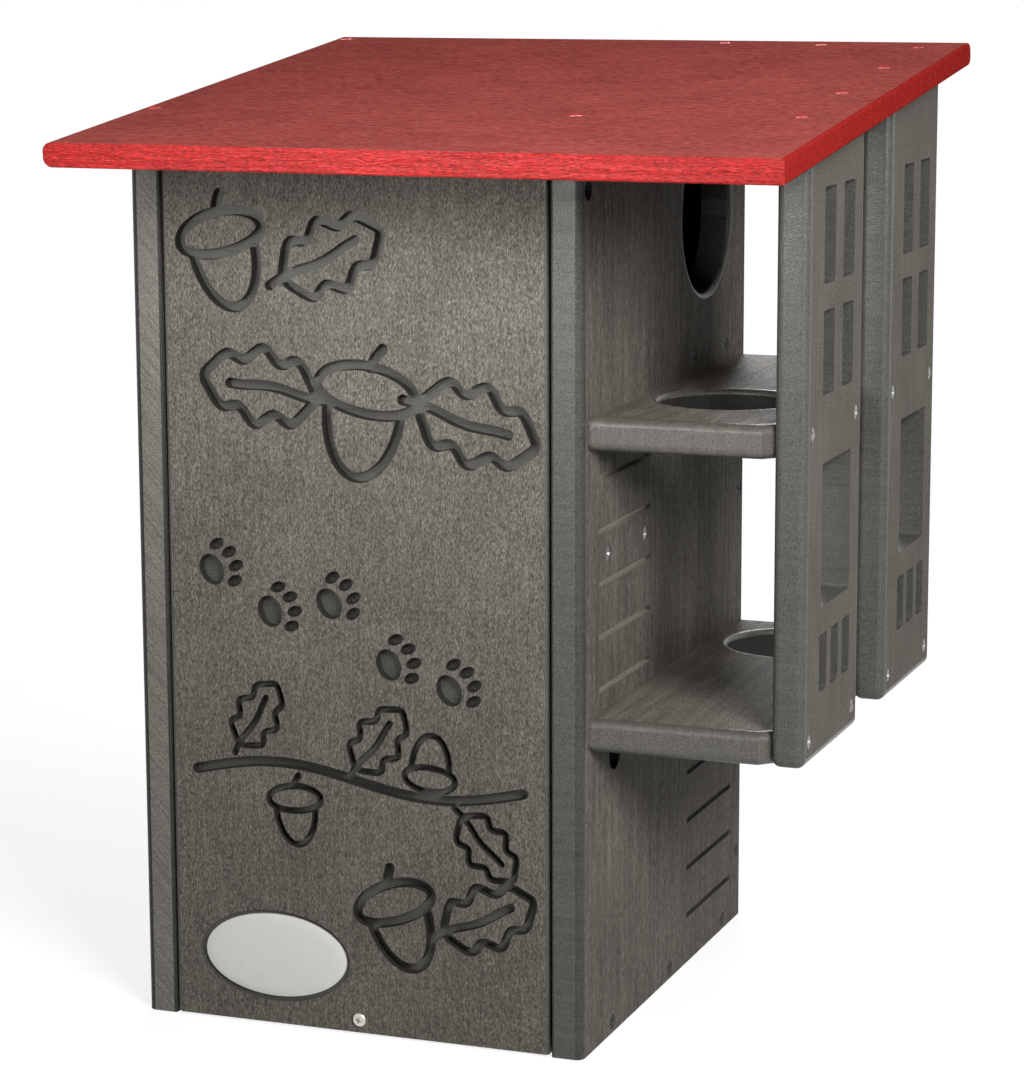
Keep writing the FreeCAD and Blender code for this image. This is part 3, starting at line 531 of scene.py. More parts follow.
class Workshop:
    """Mesh work that the pieces share."""

    @staticmethod
    def copied(node: str) -> BMesh:
        """A CAD node's mesh, merged and with its flat faces joined up."""
        source = frame["nodes"][node].data
        mesh = bmesh.new()
        corners = [mesh.verts.new(vertex.co) for vertex in source.vertices]
        for polygon in source.polygons:
            mesh.faces.new([corners[index] for index in polygon.vertices])
        bmesh.ops.remove_doubles(mesh, verts=mesh.verts, dist=WELD_GAP)
        bmesh.ops.dissolve_limit(mesh, angle_limit=FLAT_ANGLE, verts=mesh.verts, edges=mesh.edges)
        bmesh.ops.recalc_face_normals(mesh, faces=mesh.faces)
        return mesh

    @staticmethod
    def placed(name: str, mesh: BMesh) -> Object:
        """An object at the origin that holds a finished mesh."""
        data = bpy.data.meshes.new(name)
        mesh.to_mesh(data)
        mesh.free()
        item = bpy.data.objects.new(name, data)
        bpy.context.scene.collection.objects.link(item)
        return item

    @staticmethod
    def bridge(mesh: BMesh, one: Ring, two: Ring) -> None:
        """Join two rings of equal count by a band of faces."""
        for index in range(len(one)):
            after = (index + 1) % len(one)
            mesh.faces.new((one[index], one[after], two[after], two[index]))

    @staticmethod
    def turns(count: int) -> list[float]:
        """Angles of equal steps round a circle."""
        return [math.tau * index / count for index in range(count)]

    @staticmethod
    def open_slots(item: Object) -> None:
        """Give an object one empty material slot for each kind of face."""
        for _ in Surface:
            item.data.materials.append(None)

    @staticmethod
    def settle(item: Object) -> None:
        """Turn an object's modifiers into a plain mesh."""
        graph = bpy.context.evaluated_depsgraph_get()
        data = bpy.data.meshes.new_from_object(item.evaluated_get(graph), depsgraph=graph)
        data.name = item.name
        item.modifiers.clear()
        item.data = data

    @staticmethod
    def cut(item: Object, tool: Object) -> None:
        """Take a tool's shape out of an object and drop the tool."""
        step = item.modifiers.new("cut", "BOOLEAN")
        step.operation = "DIFFERENCE"
        step.solver = "EXACT"
        step.use_self = True
        step.material_mode = "INDEX"
        step.object = tool
        Workshop.settle(item)
        bpy.data.objects.remove(tool)

    @staticmethod
    def smooth(item: Object, angle: float = 32.0) -> None:
        """Shade rounds smoothly and keep edges sharper than an angle in degrees."""
        mesh = bmesh.new()
        mesh.from_mesh(item.data)
        for face in mesh.faces:
            face.smooth = True
        for edge in mesh.edges:
            edge.smooth = edge.calc_face_angle(math.pi) < math.radians(angle)
        mesh.to_mesh(item.data)
        mesh.free()
        step = item.modifiers.new("flats", "WEIGHTED_NORMAL")
        step.keep_sharp = True
        Workshop.settle(item)

    @staticmethod
    def attach(item: Object, node: str) -> Object:
        """Put a piece in place of its CAD node, on that node's body."""
        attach(item, frame["nodes"][node]["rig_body"])
        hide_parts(node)
        log.info("%s: %d faces", item.name, len(item.data.polygons))
        return item


@dataclass
class Board:
    """A board of plastic lumber, dressed from its CAD node."""

    node: str
    thickness: Vector
    finish: BoardFinish
    front_round: float = 0.0
    bore: float = 0.0
    bore_rear: float = math.inf
    arris: float = 0.35

    def build(self) -> Object:
        """Make the board's mesh, sort its faces, ease its edges and dress it."""
        mesh = Workshop.copied(self.node)
        self.round_front(mesh)
        item = Workshop.placed(f"{self.node}_board", mesh)
        Workshop.open_slots(item)
        self.shape(item)
        self.sort_faces(item)
        self.ease(item)
        self.dress(item)
        return Workshop.attach(item, self.node)

    def round_front(self, mesh: BMesh) -> None:
        """Round the upright front edges that are still sharp, where the board asks for it."""
        if not self.front_round:
            return
        front = min(vertex.co.y for vertex in mesh.verts)
        edges = []
        for edge in mesh.edges:
            low, high = (vertex.co for vertex in edge.verts)
            upright = abs(high.z - low.z) > 50 * MM and max(low.y, high.y) < front + 0.05 * MM
            if upright and edge.calc_face_angle(0.0) > SHARP_ANGLE:
                edges.append(edge)
        bmesh.ops.bevel(mesh, geom=edges, offset=self.front_round * MM, segments=3, profile=0.5, affect="EDGES")

    def shape(self, item: Object) -> None:
        """Add the shapes that only this board has; a plain board has none."""

    def sort_faces(self, item: Object) -> None:
        """Tell the two outer skins from everything that was machined."""
        levels = [vertex.co.dot(self.thickness) for vertex in item.data.vertices]
        outer = (min(levels), max(levels))
        if self.bore:
            self.mark_bores(item)
        for face in item.data.polygons:
            face.material_index = self.kind(face, outer)

    def kind(self, face: MeshPolygon, outer: tuple[float, float]) -> Surface:
        """Tell a face's kind from its direction and its place.

        Args:
            face: The face, marked already where it was hewn, or where it is a hollow painted dark as shade or pale as
                light.
            outer: Levels of the two outer skins.

        Returns:
            The kind of face.
        """
        if face.material_index == Surface.ROUGH:
            return Surface.ROUGH
        if abs(face.normal.dot(self.thickness)) > 0.999:
            level = face.center.dot(self.thickness)
            if min(abs(level - side) for side in outer) < 0.03 * MM:
                return Surface.SKIN
            # Flats below the skins of a bored board, such as groove floors, take the same painted shade or light.
            if self.bore and face.center.y < self.bore_rear * MM:
                return Surface.ROUGH
        if self.front_round and face.normal.y < -0.99:
            return Surface.SAWN
        return Surface.ROUTED

    def mark_bores(self, item: Object) -> None:
        """Mark the walls of holes and grooves, faces that look at another face of the same board, for their painted
        shade or painted light.
        """
        points = [vertex.co for vertex in item.data.vertices]
        tree = BVHTree.FromPolygons(points, [tuple(face.vertices) for face in item.data.polygons])
        for face in item.data.polygons:
            start = face.center + face.normal * 0.1 * MM
            faced = tree.ray_cast(start, face.normal, self.bore * MM)[0] is not None
            if faced and face.center.y < self.bore_rear * MM:
                face.material_index = Surface.ROUGH

    def ease(self, item: Object) -> None:
        """Break the sharp arrises a little, then shade the rounds."""
        step = item.modifiers.new("arris", "BEVEL")
        step.width = self.arris * MM
        step.segments = 1
        step.limit_method = "ANGLE"
        step.angle_limit = SHARP_ANGLE
        step.material = Surface.ARRIS
        Workshop.settle(item)
        Workshop.smooth(item)

    def dress(self, item: Object) -> None:
        """Give each kind of face its finish."""
        for surface in Surface:
            finish = getattr(self.finish, surface.name.lower())
            item.data.materials[surface] = finish.material()


@dataclass
class Roof(Board):
    """The red roof board, whose front edge is left torn and chipped from the saw."""

    step: float = 1.6
    rows: int = 8
    depth: float = 0.7
    reach: float = 1.45
    chips: Point2 = (120.0, 380.0)
    splinters: float = 3.1

    def shape(self, item: Object) -> None:
        """Cut the front edge into a fine grid and hew it."""
        mesh = bmesh.new()
        mesh.from_mesh(item.data)
        along = self.thickness.cross(X)
        front = min(vertex.co.dot(along) for vertex in mesh.verts)
        reach = front + self.reach * MM

        def edge_faces() -> list[BMFace]:
            return [face for face in mesh.faces
                    if all(corner.co.dot(along) < reach + 0.1 * MM for corner in face.verts)]

        low = min(vertex.co.x for vertex in mesh.verts)
        high = max(vertex.co.x for vertex in mesh.verts)
        count = int((high - low) / (self.step * MM))
        for index in range(1, count):
            self.slice(mesh, edge_faces(), X * (low + (high - low) * index / count), X)
        levels = [vertex.co.dot(self.thickness) for face in edge_faces() for vertex in face.verts]
        for index in range(1, self.rows):
            level = min(levels) + (max(levels) - min(levels)) * index / self.rows
            self.slice(mesh, edge_faces(), self.thickness * level, self.thickness)
        for face in edge_faces():
            face.material_index = Surface.ROUGH
        self.hew(mesh, along, front, reach)
        mesh.to_mesh(item.data)
        mesh.free()

    @staticmethod
    def slice(mesh: BMesh, faces: list[BMFace], point: Vector, normal: Vector) -> None:
        """Cut some faces along a plane, and keep both sides."""
        parts = {part for face in faces for part in (*face.verts, *face.edges, face)}
        bmesh.ops.bisect_plane(mesh, geom=list(parts), dist=WELD_GAP / 10, plane_co=point, plane_no=normal)

    def hew(self, mesh: BMesh, along: Vector, front: float, reach: float) -> None:
        """Push the front edge's points in by chips of several sizes.

        Args:
            mesh: The roof.
            along: Direction up the slope.
            front: Place of the front face along the slope.
            reach: Place where the chips end.
        """
        for vertex in mesh.verts:
            place = vertex.co.dot(along)
            if place > reach:
                continue
            spot = Vector((vertex.co.x * self.chips[0], vertex.co.z * self.chips[1], 0))
            chip = noise.noise(spot) * 0.6 + noise.noise(spot * self.splinters) * 0.4
            share = 1 - max(0.0, place - front) / (reach - front)
            vertex.co += along * (0.5 + 0.5 * chip) * self.depth * MM * share


@dataclass(frozen=True)
class Stroke:
    """One routed line or pocket on the door's face, in millimetres of x and z."""

    points: tuple[Point2, ...]
    width: float
    closed: bool
    layer: int

    def outline(self) -> list[list[Point2]]:
        """The loops that bound the cut: one for a line or pocket, two for a ring.

        Returns:
            Loops of points.
        """
        if not self.width:
            return [list(self.points)]
        left = [self.beside(index, 1) for index in range(len(self.points))]
        right = [self.beside(index, -1) for index in range(len(self.points))]
        if self.closed:
            return [left, right]
        return [[*left, *self.cap(-1, left[-1]), *reversed(right), *self.cap(0, right[0])]]

    def beside(self, index: int, side: int) -> Point2:
        """The point half a width to one side of the line."""
        count = len(self.points)
        if self.closed:
            before, after = self.points[index - 1], self.points[(index + 1) % count]
        else:
            before, after = self.points[max(index - 1, 0)], self.points[min(index + 1, count - 1)]
        run = Vector(after) - Vector(before)
        out = Vector((-run.y, run.x)).normalized() * side * self.width / 2
        return self.points[index][0] + out.x, self.points[index][1] + out.y

    def cap(self, index: int, start: Point2) -> list[Point2]:
        """Points of the round end, clockwise from one side to the other."""
        centre = Vector(self.points[index])
        arm = Vector(start) - centre
        turns = [Matrix.Rotation(-math.pi * part / 6, 2) for part in range(1, 6)]
        return [tuple(centre + turn @ arm) for turn in turns]

    def solid(self, mesh: BMesh, front: float, floor: float) -> None:
        """Add the cut's solid to a mesh, from a front level to a floor level in y."""
        rings = []
        for loop in self.outline():
            rings.append([[mesh.verts.new((x * MM, y, z * MM)) for x, z in loop] for y in (front, floor)])
        for near, far in rings:
            Workshop.bridge(mesh, near, far)
        if len(rings) == 1:
            for level in rings[0]:
                mesh.faces.new(level)
            return
        for inner, outer in zip(*rings):
            Workshop.bridge(mesh, inner, outer)


@dataclass(frozen=True)
class Motif:
    """Acorns, oak leaves and paw prints for the door, as routed lines."""

    line: float = 5.8

    @staticmethod
    def turned(points: Iterable[Point2], centre: Point2, size: float, tilt: float) -> tuple[Point2, ...]:
        """Points of a unit drawing, sized, tilted by degrees and moved to a centre."""
        turn = Matrix.Rotation(math.radians(tilt), 2)
        spots = [turn @ (Vector(point) * size) for point in points]
        return tuple((centre[0] + spot.x, centre[1] + spot.y) for spot in spots)

    def acorn(self, centre: Point2, size: float, tilt: float) -> list[Stroke]:
        """A nut, its cap and its stalk.

        Args:
            centre: Middle of the acorn.
            size: Its height.
            tilt: Lean in degrees, anticlockwise.

        Returns:
            The strokes.
        """
        arc = [math.pi * (1 + part / 24) for part in range(25)]
        nut = [(0.3 * math.cos(a), 0.06 + 0.54 * math.sin(a)) for a in arc]
        cap = [(0.4 * math.cos(a), 0.17 + (0.2 if math.sin(a) > 0 else 0.16) * math.sin(a))
               for a in Workshop.turns(40)]
        stalk = [(0.0, 0.36), (0.03, 0.44), (0.08, 0.52)]
        line = min(self.line, 0.1 * size)
        return [
            Stroke(self.turned(cap, centre, size, tilt), line, True, 0),
            Stroke(self.turned(nut, centre, size, tilt), line, False, 1),
            Stroke(self.turned(stalk, centre, size, tilt), line, False, 1),
        ]

    def leaf(self, base: Point2, length: float, tilt: float) -> list[Stroke]:
        """A lobed oak leaf with its midrib.

        Args:
            base: Where the blade meets its stalk.
            length: Blade length.
            tilt: Direction of the midrib in degrees, anticlockwise from the right.

        Returns:
            The strokes.
        """
        blade = []
        for part in range(96):
            angle = math.tau * part / 96
            along = (1 - math.cos(angle)) / 2
            lobes = 1 + 0.2 * math.cos(6 * math.pi * along + math.pi)
            half = 0.27 * math.sqrt(max(0.0, math.sin(math.pi * along ** 0.85))) * lobes
            blade.append((along, half if part < 48 else -half))
        rib = [(-0.16 + 0.92 * part / 8, 0.02 * math.sin(part)) for part in range(9)]
        line = min(self.line, 0.09 * length)
        return [
            Stroke(self.turned(blade, base, length, tilt), line, True, 0),
            Stroke(self.turned(rib, base, length, tilt), line, False, 1),
        ]

    def paw(self, centre: Point2, size: float, tilt: float) -> list[Stroke]:
        """A paw print of one pad and four toes."""
        pads = [((0.0, -0.12), (0.3, 0.24))]
        pads += [((x, z), (0.1, 0.16)) for x, z in ((-0.38, 0.2), (-0.14, 0.36), (0.14, 0.36), (0.38, 0.2))]
        strokes = []
        for (x, z), (half_width, half_height) in pads:
            oval = [(x + half_width * math.cos(a), z + half_height * math.sin(a)) for a in Workshop.turns(28)]
            strokes.append(Stroke(self.turned(oval, centre, size, tilt), 0.0, True, 0))
        return strokes

    def branch(self, start: Point2, end: Point2, wave: float) -> list[Stroke]:
        """A wavy twig from start to end."""
        parts = [part / 40 for part in range(41)]
        points = tuple((start[0] + (end[0] - start[0]) * s,
                        start[1] + (end[1] - start[1]) * s + wave * math.sin(math.tau * s)) for s in parts)
        return [Stroke(points, self.line, False, 2)]

    def strokes(self) -> list[Stroke]:
        """Every stroke on the door, from top to bottom."""
        found = self.acorn((-72, 420), 60, 14) + self.leaf((-38, 408), 60, 26)
        found += self.leaf((-22, 346), 64, 172) + self.acorn((6, 338), 70, -9)
        found += self.leaf((38, 344), 66, -16)
        found += self.paw((-80, 252), 29, -62) + self.paw((-46, 231), 29, -70) + self.paw((-12, 238), 29, -58)
        found += self.paw((22, 207), 29, -66) + self.paw((56, 196), 29, -60)
        found += self.branch((-94, 140), (94, 142), 7.0)
        found += self.leaf((-68, 156), 40, 58) + self.acorn((-36, 121), 38, 4)
        found += self.leaf((0, 148), 42, 52) + self.acorn((42, 152), 36, 176) + self.leaf((60, 126), 42, -48)
        found += self.acorn((24, 66), 56, 20) + self.leaf((50, 62), 54, 24)
        return found


@dataclass
class Door(Board):
    """The front door with its routed motif."""

    motif: Motif = Motif()
    depth: float = 6.5

    def shape(self, item: Object) -> None:
        """Rout the motif into the front face, one layer of strokes after another."""
        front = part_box(self.node)[0].y
        strokes = self.motif.strokes()
        for layer in sorted({stroke.layer for stroke in strokes}):
            tool = bmesh.new()
            for stroke in strokes:
                if stroke.layer == layer:
                    stroke.solid(tool, front - MM, front + self.depth * MM)
            bmesh.ops.recalc_face_normals(tool, faces=tool.faces)
            # Groove walls get the cut slot, whose near-black colour is painted shade; floors stay routed
            for face in tool.faces:
                face.material_index = Surface.ROUGH if abs(face.normal.y) < 0.5 else Surface.ROUTED
            router = Workshop.placed("router", tool)
            Workshop.open_slots(router)
            Workshop.cut(item, router)


@dataclass
class Badge:
    """The blank domed oval plate on the door."""

    node: str
    finish: Finish
    rings: int = 14
    spokes: int = 96
    edge: float = 1.5

    def build(self) -> Object:
        """Make the dome inside the plate's box and dress it."""
        low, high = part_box(self.node)
        middle = (low + high) / 2
        half = (high - low) / 2
        mesh = bmesh.new()
        back = self.ring(mesh, middle, half, 1.0, high.y)
        loops = [back]
        for index in range(self.rings):
            share = 1 - index / self.rings
            rise = self.edge * MM + (2 * half.y - self.edge * MM) * math.sqrt(max(0.0, 1 - share ** 3))
            loops.append(self.ring(mesh, middle, half, share, high.y - rise))
        for one, two in zip(loops, loops[1:]):
            Workshop.bridge(mesh, one, two)
        crown = mesh.verts.new((middle.x, low.y, middle.z))
        for index in range(self.spokes):
            mesh.faces.new((loops[-1][index], loops[-1][(index + 1) % self.spokes], crown))
        mesh.faces.new(back)
        bmesh.ops.recalc_face_normals(mesh, faces=mesh.faces)
        item = Workshop.placed(f"{self.node}_dome", mesh)
        Workshop.smooth(item, 40.0)
        item.data.materials.append(self.finish.material())
        return Workshop.attach(item, self.node)

    def ring(self, mesh: BMesh, middle: Vector, half: Vector, share: float, y: float) -> Ring:
        """One oval ring of points at a level of y."""
        return [mesh.verts.new((middle.x + half.x * share * math.cos(a), y, middle.z + half.z * share * math.sin(a)))
                for a in Workshop.turns(self.spokes)]


@dataclass(frozen=True)
class ScrewPattern:
    """A cross-recessed screw, upright, with the top of its head at the origin."""

    drive: Drive
    head: float
    head_depth: float
    shank: float
    length: float
    pitch: float = 1.9
    spokes: int = 16
    rim: float = 0.35
    neck: float = 0.6
    point: float = 3.0
    tip: float = 0.3
    core: float = 0.74
    flank: float = 3.2
    rings_per_turn: int = 5

    def build(self) -> Object:
        """Turn the head, wind the thread and cut the recess."""
        mesh = bmesh.new()
        rings = [self.ring(mesh, lambda a, r=radius: r, level) for radius, level in self.head_profile()]
        rings += self.thread(mesh)
        for one, two in zip(rings, rings[1:]):
            Workshop.bridge(mesh, one, two)
        mesh.faces.new(rings[0])
        mesh.faces.new(rings[-1])
        bmesh.ops.recalc_face_normals(mesh, faces=mesh.faces)
        item = Workshop.placed(f"{self.drive.value}_screw", mesh)
        Workshop.cut(item, self.recess())
        Workshop.smooth(item, 35.0)
        return item

    def head_profile(self) -> list[tuple[float, float]]:
        """Radius and level of each ring of the head, from its top down."""
        radius, shank = self.head / 2, self.shank / 2
        if self.drive is Drive.COUNTERSUNK:
            return [(radius - self.rim, 0.0), (radius - 0.08, -0.1), (radius, -self.rim), (shank, -self.head_depth)]
        dome = [(radius * math.sin(a), -self.head_depth * 0.55 * (1 - math.cos(a)))
                for a in (math.pi * part / 14 for part in range(3, 8))]
        return [*dome, (radius, -self.head_depth), (shank, -self.head_depth)]

    def thread(self, mesh: BMesh) -> list[Ring]:
        """Rings of the thread, from under the head to a short point."""
        start, end = -self.head_depth - self.neck, -self.length + self.point
        count = int((start - end) / self.pitch * self.rings_per_turn)
        outer, core = self.shank / 2, self.shank / 2 * self.core
        rings = []
        for index in range(count + 1):
            level = start + (end - start) * index / count

            def radius(angle: float, at: float = level) -> float:
                phase = (at / self.pitch + angle / math.tau) % 1
                return core + (outer - core) * max(0.0, 1 - abs(phase - 0.5) * self.flank)

            rings.append(self.ring(mesh, radius, level))
        rings.append(self.ring(mesh, lambda angle: self.tip, -self.length))
        return rings

    def ring(self, mesh: BMesh, radius: Callable[[float], float], level: float) -> Ring:
        """One ring of points, its radius by angle, in millimetres."""
        return [mesh.verts.new((radius(a) * math.cos(a) * MM, radius(a) * math.sin(a) * MM, level * MM))
                for a in Workshop.turns(self.spokes)]

    def recess(self) -> Object:
        """The tapered cross that a driver fits."""
        mesh = bmesh.new()
        span, width, depth = self.head * 0.28, self.head * 0.08, self.head * 0.26
        crosses = []
        for level, scale in ((0.4, 1.06), (-depth, 0.42)):
            arms = []
            for turn in range(4):
                spin = Matrix.Rotation(math.pi / 2 * turn, 2)
                thin = width * (0.6 + 0.4 * scale)
                for x, y in ((thin, -thin), (span * scale, -thin), (span * scale, thin)):
                    spot = spin @ Vector((x, y))
                    arms.append(mesh.verts.new((spot.x * MM, spot.y * MM, level * MM)))
            mesh.faces.new(arms)
            crosses.append(arms)
        Workshop.bridge(mesh, *crosses)
        bmesh.ops.recalc_face_normals(mesh, faces=mesh.faces)
        return Workshop.placed("driver", mesh)


@dataclass
class ScrewSet:
    """All screws of one CAD node, set out by geometry nodes."""

    node: str
    pattern: ScrewPattern
    axis: Vector
    finish: Finish
    # Finish for screws above a level, painted dark as their shade
    upper_finish: Finish | None = None
    upper_level: float = 0.0
    seed: int = 4

    def places(self) -> list[tuple[Vector, Vector]]:
        """Head centre and outward direction of each of the node's screws, in a fixed order."""
        mesh = Workshop.copied(self.node)
        mesh.verts.index_update()
        found: list[tuple[Vector, Vector]] = []
        seen: set[int] = set()
        for start in mesh.verts:
            if start.index in seen:
                continue
            island, edge = {start.index: start.co.copy()}, [start]
            while edge:
                vertex = edge.pop()
                for link in vertex.link_edges:
                    other = link.other_vert(vertex)
                    if other.index not in island:
                        island[other.index] = other.co.copy()
                        edge.append(other)
            seen |= island.keys()
            found.append(self.measure(list(island.values())))
        mesh.free()
        return sorted(found, key=lambda place: [round(part / MM, 2) for part in place[0]])

    def measure(self, points: list[Vector]) -> tuple[Vector, Vector]:
        """Head centre and outward direction of one screw, whose head is its wider end."""
        ends = []
        for direction in (self.axis, -self.axis):
            top = max(point.dot(direction) for point in points)
            cap = [point for point in points if point.dot(direction) > top - 0.02 * MM]
            centre = sum(cap, Vector()) / len(cap)
            ends.append((max((point - centre).length for point in cap), centre, direction))
        _, centre, direction = max(ends, key=lambda found: found[0])
        return centre, direction

    def tree(self) -> NodeTree:
        """Nodes that stand one screw on each point, turned by chance about its own axis."""
        found = bpy.data.node_groups.get("screws_on_points")
        if found:
            return found
        tree = bpy.data.node_groups.new("screws_on_points", "GeometryNodeTree")
        tree.interface.new_socket("Geometry", in_out="INPUT", socket_type="NodeSocketGeometry")
        for label, kind in (("Screw", "Object"), ("Finish", "Material"), ("Seed", "Int")):
            tree.interface.new_socket(label, in_out="INPUT", socket_type=f"NodeSocket{kind}")
        tree.interface.new_socket("Geometry", in_out="OUTPUT", socket_type="NodeSocketGeometry")
        graph = Graph(tree)
        start = graph.add("NodeGroupInput")
        axis = graph.add("GeometryNodeInputNamedAttribute", {"Name": "axis"}, data_type="FLOAT_VECTOR")
        stand = graph.add("FunctionNodeAlignRotationToVector", {"Vector": axis.outputs[0]}, axis="Z")
        chance = graph.add("FunctionNodeRandomValue", {"Seed": start.outputs["Seed"]}, data_type="FLOAT")
        chance.inputs[3].default_value = math.tau
        spin = graph.add("FunctionNodeAxisAngleToRotation", {"Axis": (0, 0, 1), "Angle": chance.outputs[1]})
        turn = graph.add("FunctionNodeRotateRotation", {0: stand.outputs[0], 1: spin.outputs[0]},
                         rotation_space="LOCAL")
        screw = graph.add("GeometryNodeObjectInfo", {"Object": start.outputs["Screw"]})
        stood = graph.add("GeometryNodeInstanceOnPoints", {
            "Points": start.outputs["Geometry"], "Instance": screw.outputs["Geometry"], "Rotation": turn.outputs[0]})
        real = graph.add("GeometryNodeRealizeInstances", {"Geometry": stood.outputs[0]})
        dressed = graph.add("GeometryNodeSetMaterial", {
            "Geometry": real.outputs[0], "Material": start.outputs["Finish"]})
        graph.add("NodeGroupOutput", {0: dressed.outputs[0]})
        return tree

    def build(self) -> Object:
        """Stand the screws in their places and keep the result as a plain mesh."""
        places = self.places()
        points = bmesh.new()
        for head, _ in places:
            points.verts.new(head)
        item = Workshop.placed(f"{self.node}_set", points)
        axes = item.data.attributes.new("axis", "FLOAT_VECTOR", "POINT")
        axes.data.foreach_set("vector", [part for _, axis in places for part in axis])
        screw = self.pattern.build()
        tree = self.tree()
        step = item.modifiers.new("screws", "NODES")
        step.node_group = tree
        values = {"Screw": screw, "Finish": self.finish.material(), "Seed": self.seed}
        for socket in tree.interface.items_tree:
            if socket.in_out == "INPUT" and socket.name in values:
                step[socket.identifier] = values[socket.name]
        Workshop.settle(item)
        bpy.data.objects.remove(screw)
        # Screws above the level are painted dark as shade
        if self.upper_finish:
            item.data.materials.clear()
            for finish in (self.finish, self.upper_finish):
                item.data.materials.append(finish.material())
            for face in item.data.polygons:
                face.material_index = int(face.center.z > self.upper_level)
        return Workshop.attach(item, self.node)


@dataclass(frozen=True)
class SoftLamp:
    """A square studio lamp that looks at the box, with a grid where its spread is less than a half turn."""

    name: str
    azimuth: float
    elevation: float
    distance: float
    size: float
    power: float
    spread: float = 180.0
    aim: float = 0.0

    def build(self, target: Vector) -> None:
        """Hang the lamp by its angles round the target, in degrees, azimuth turning from the front towards +x."""
        turn, rise = math.radians(self.azimuth), math.radians(self.elevation)
        away = Vector((math.sin(turn) * math.cos(rise), -math.cos(turn) * math.cos(rise), math.sin(rise)))
        data = bpy.data.lights.new(self.name, "AREA")
        data.size = self.size
        data.energy = self.power
        data.spread = math.radians(self.spread)
        lamp = bpy.data.objects.new(self.name, data)
        lamp.location = target + away * self.distance
        back = away * self.distance - Vector((0, 0, self.aim))
        lamp.rotation_euler = back.to_track_quat("Z", "Y").to_euler()
        bpy.context.scene.collection.objects.link(lamp)


@dataclass
class Studio:
    """Floor, light and camera round the box."""

    place: Vector
    turn: tuple[float, float, float]
    lens: float
    lamps: tuple[SoftLamp, ...]
    sensor: float = 36.0
    ambient: float = 0.02
    floor_half: float = 30.0
    floor_drop: float = 0.3
    floor_radius: float = 1.1
    floor_lift: float = 0.78
    floor_tone: Point2 = (0.34, 0.36)

    def build(self) -> None:
        """Set the stage."""
        bpy.context.scene.view_settings.view_transform = "Standard"
        self.camera()
        self.world()
        self.floor()
        target = (CAD_BOX[0] + CAD_BOX[1]) / 2
        for lamp in self.lamps:
            lamp.build(target)

    def camera(self) -> None:
        """Stand the camera where the photograph was taken from."""
        data = bpy.data.cameras.new("camera")
        data.lens = self.lens
        data.sensor_width = self.sensor
        data.sensor_fit = "HORIZONTAL"
        data.clip_end = 200
        camera = bpy.data.objects.new("camera", data)
        camera.location = self.place
        camera.rotation_euler = [math.radians(angle) for angle in self.turn]
        bpy.context.scene.collection.objects.link(camera)
        bpy.context.scene.camera = camera

    @staticmethod
    def seen(graph: Graph) -> Socket:
        """One for rays from the camera, and for those that a shiny or clear surface sends on."""
        rays = graph.add("ShaderNodeLightPath").outputs
        either = graph.math("MAXIMUM", rays["Is Camera Ray"], rays["Is Glossy Ray"])
        return graph.math("MAXIMUM", either, rays["Is Transmission Ray"])

    def world(self) -> None:
        """A white background that lights the box only softly."""
        world = bpy.data.worlds.new("studio")
        bpy.context.scene.world = world
        world.use_nodes = True
        graph = Graph(world.node_tree)
        shade = graph.ramp(self.seen(graph), 0.0, 1.0, self.ambient, 1.0)
        background = world.node_tree.nodes["Background"]
        graph.feed(shade, background, "Strength")
        background.inputs["Color"].default_value = (1, 1, 1, 1)

    def floor(self) -> None:
        """A pale floor that keeps the box's shadow and fades to white."""
        mesh = bmesh.new()
        bmesh.ops.create_grid(mesh, x_segments=2, y_segments=2, size=self.floor_half)
        bmesh.ops.translate(mesh, verts=mesh.verts, vec=(0, 0, -self.floor_drop * MM))
        floor = Workshop.placed("floor", mesh)
        material = bpy.data.materials.new("pale_floor")
        material.use_nodes = True
        material.node_tree.nodes.clear()
        graph = Graph(material.node_tree)
        place = graph.add("ShaderNodeTexCoord").outputs["Object"]
        away = graph.add("ShaderNodeVectorMath", {0: place}, operation="LENGTH").outputs["Value"]
        fade = graph.ramp(away, self.floor_radius * 0.5, self.floor_radius)
        grains = graph.ramp(graph.noise(place, 60.0, 3.0), 0.3, 0.7, *self.floor_tone)
        matt = graph.add("ShaderNodeBsdfDiffuse", {"Color": graph.grey(grains)}).outputs[0]
        seen = self.seen(graph)
        raised = graph.math("MULTIPLY", seen, self.floor_lift)
        lift = graph.add("ShaderNodeEmission", {"Strength": raised}).outputs[0]
        near = graph.add("ShaderNodeAddShader", {0: matt, 1: lift}).outputs[0]
        white = graph.add("ShaderNodeEmission", {"Strength": seen}).outputs[0]
        far = graph.add("ShaderNodeMixShader", {0: seen, 1: matt, 2: white}).outputs[0]
        whole = graph.add("ShaderNodeMixShader", {0: fade, 1: near, 2: far}).outputs[0]
        graph.add("ShaderNodeOutputMaterial", {"Surface": whole})
        floor.data.materials.append(material)


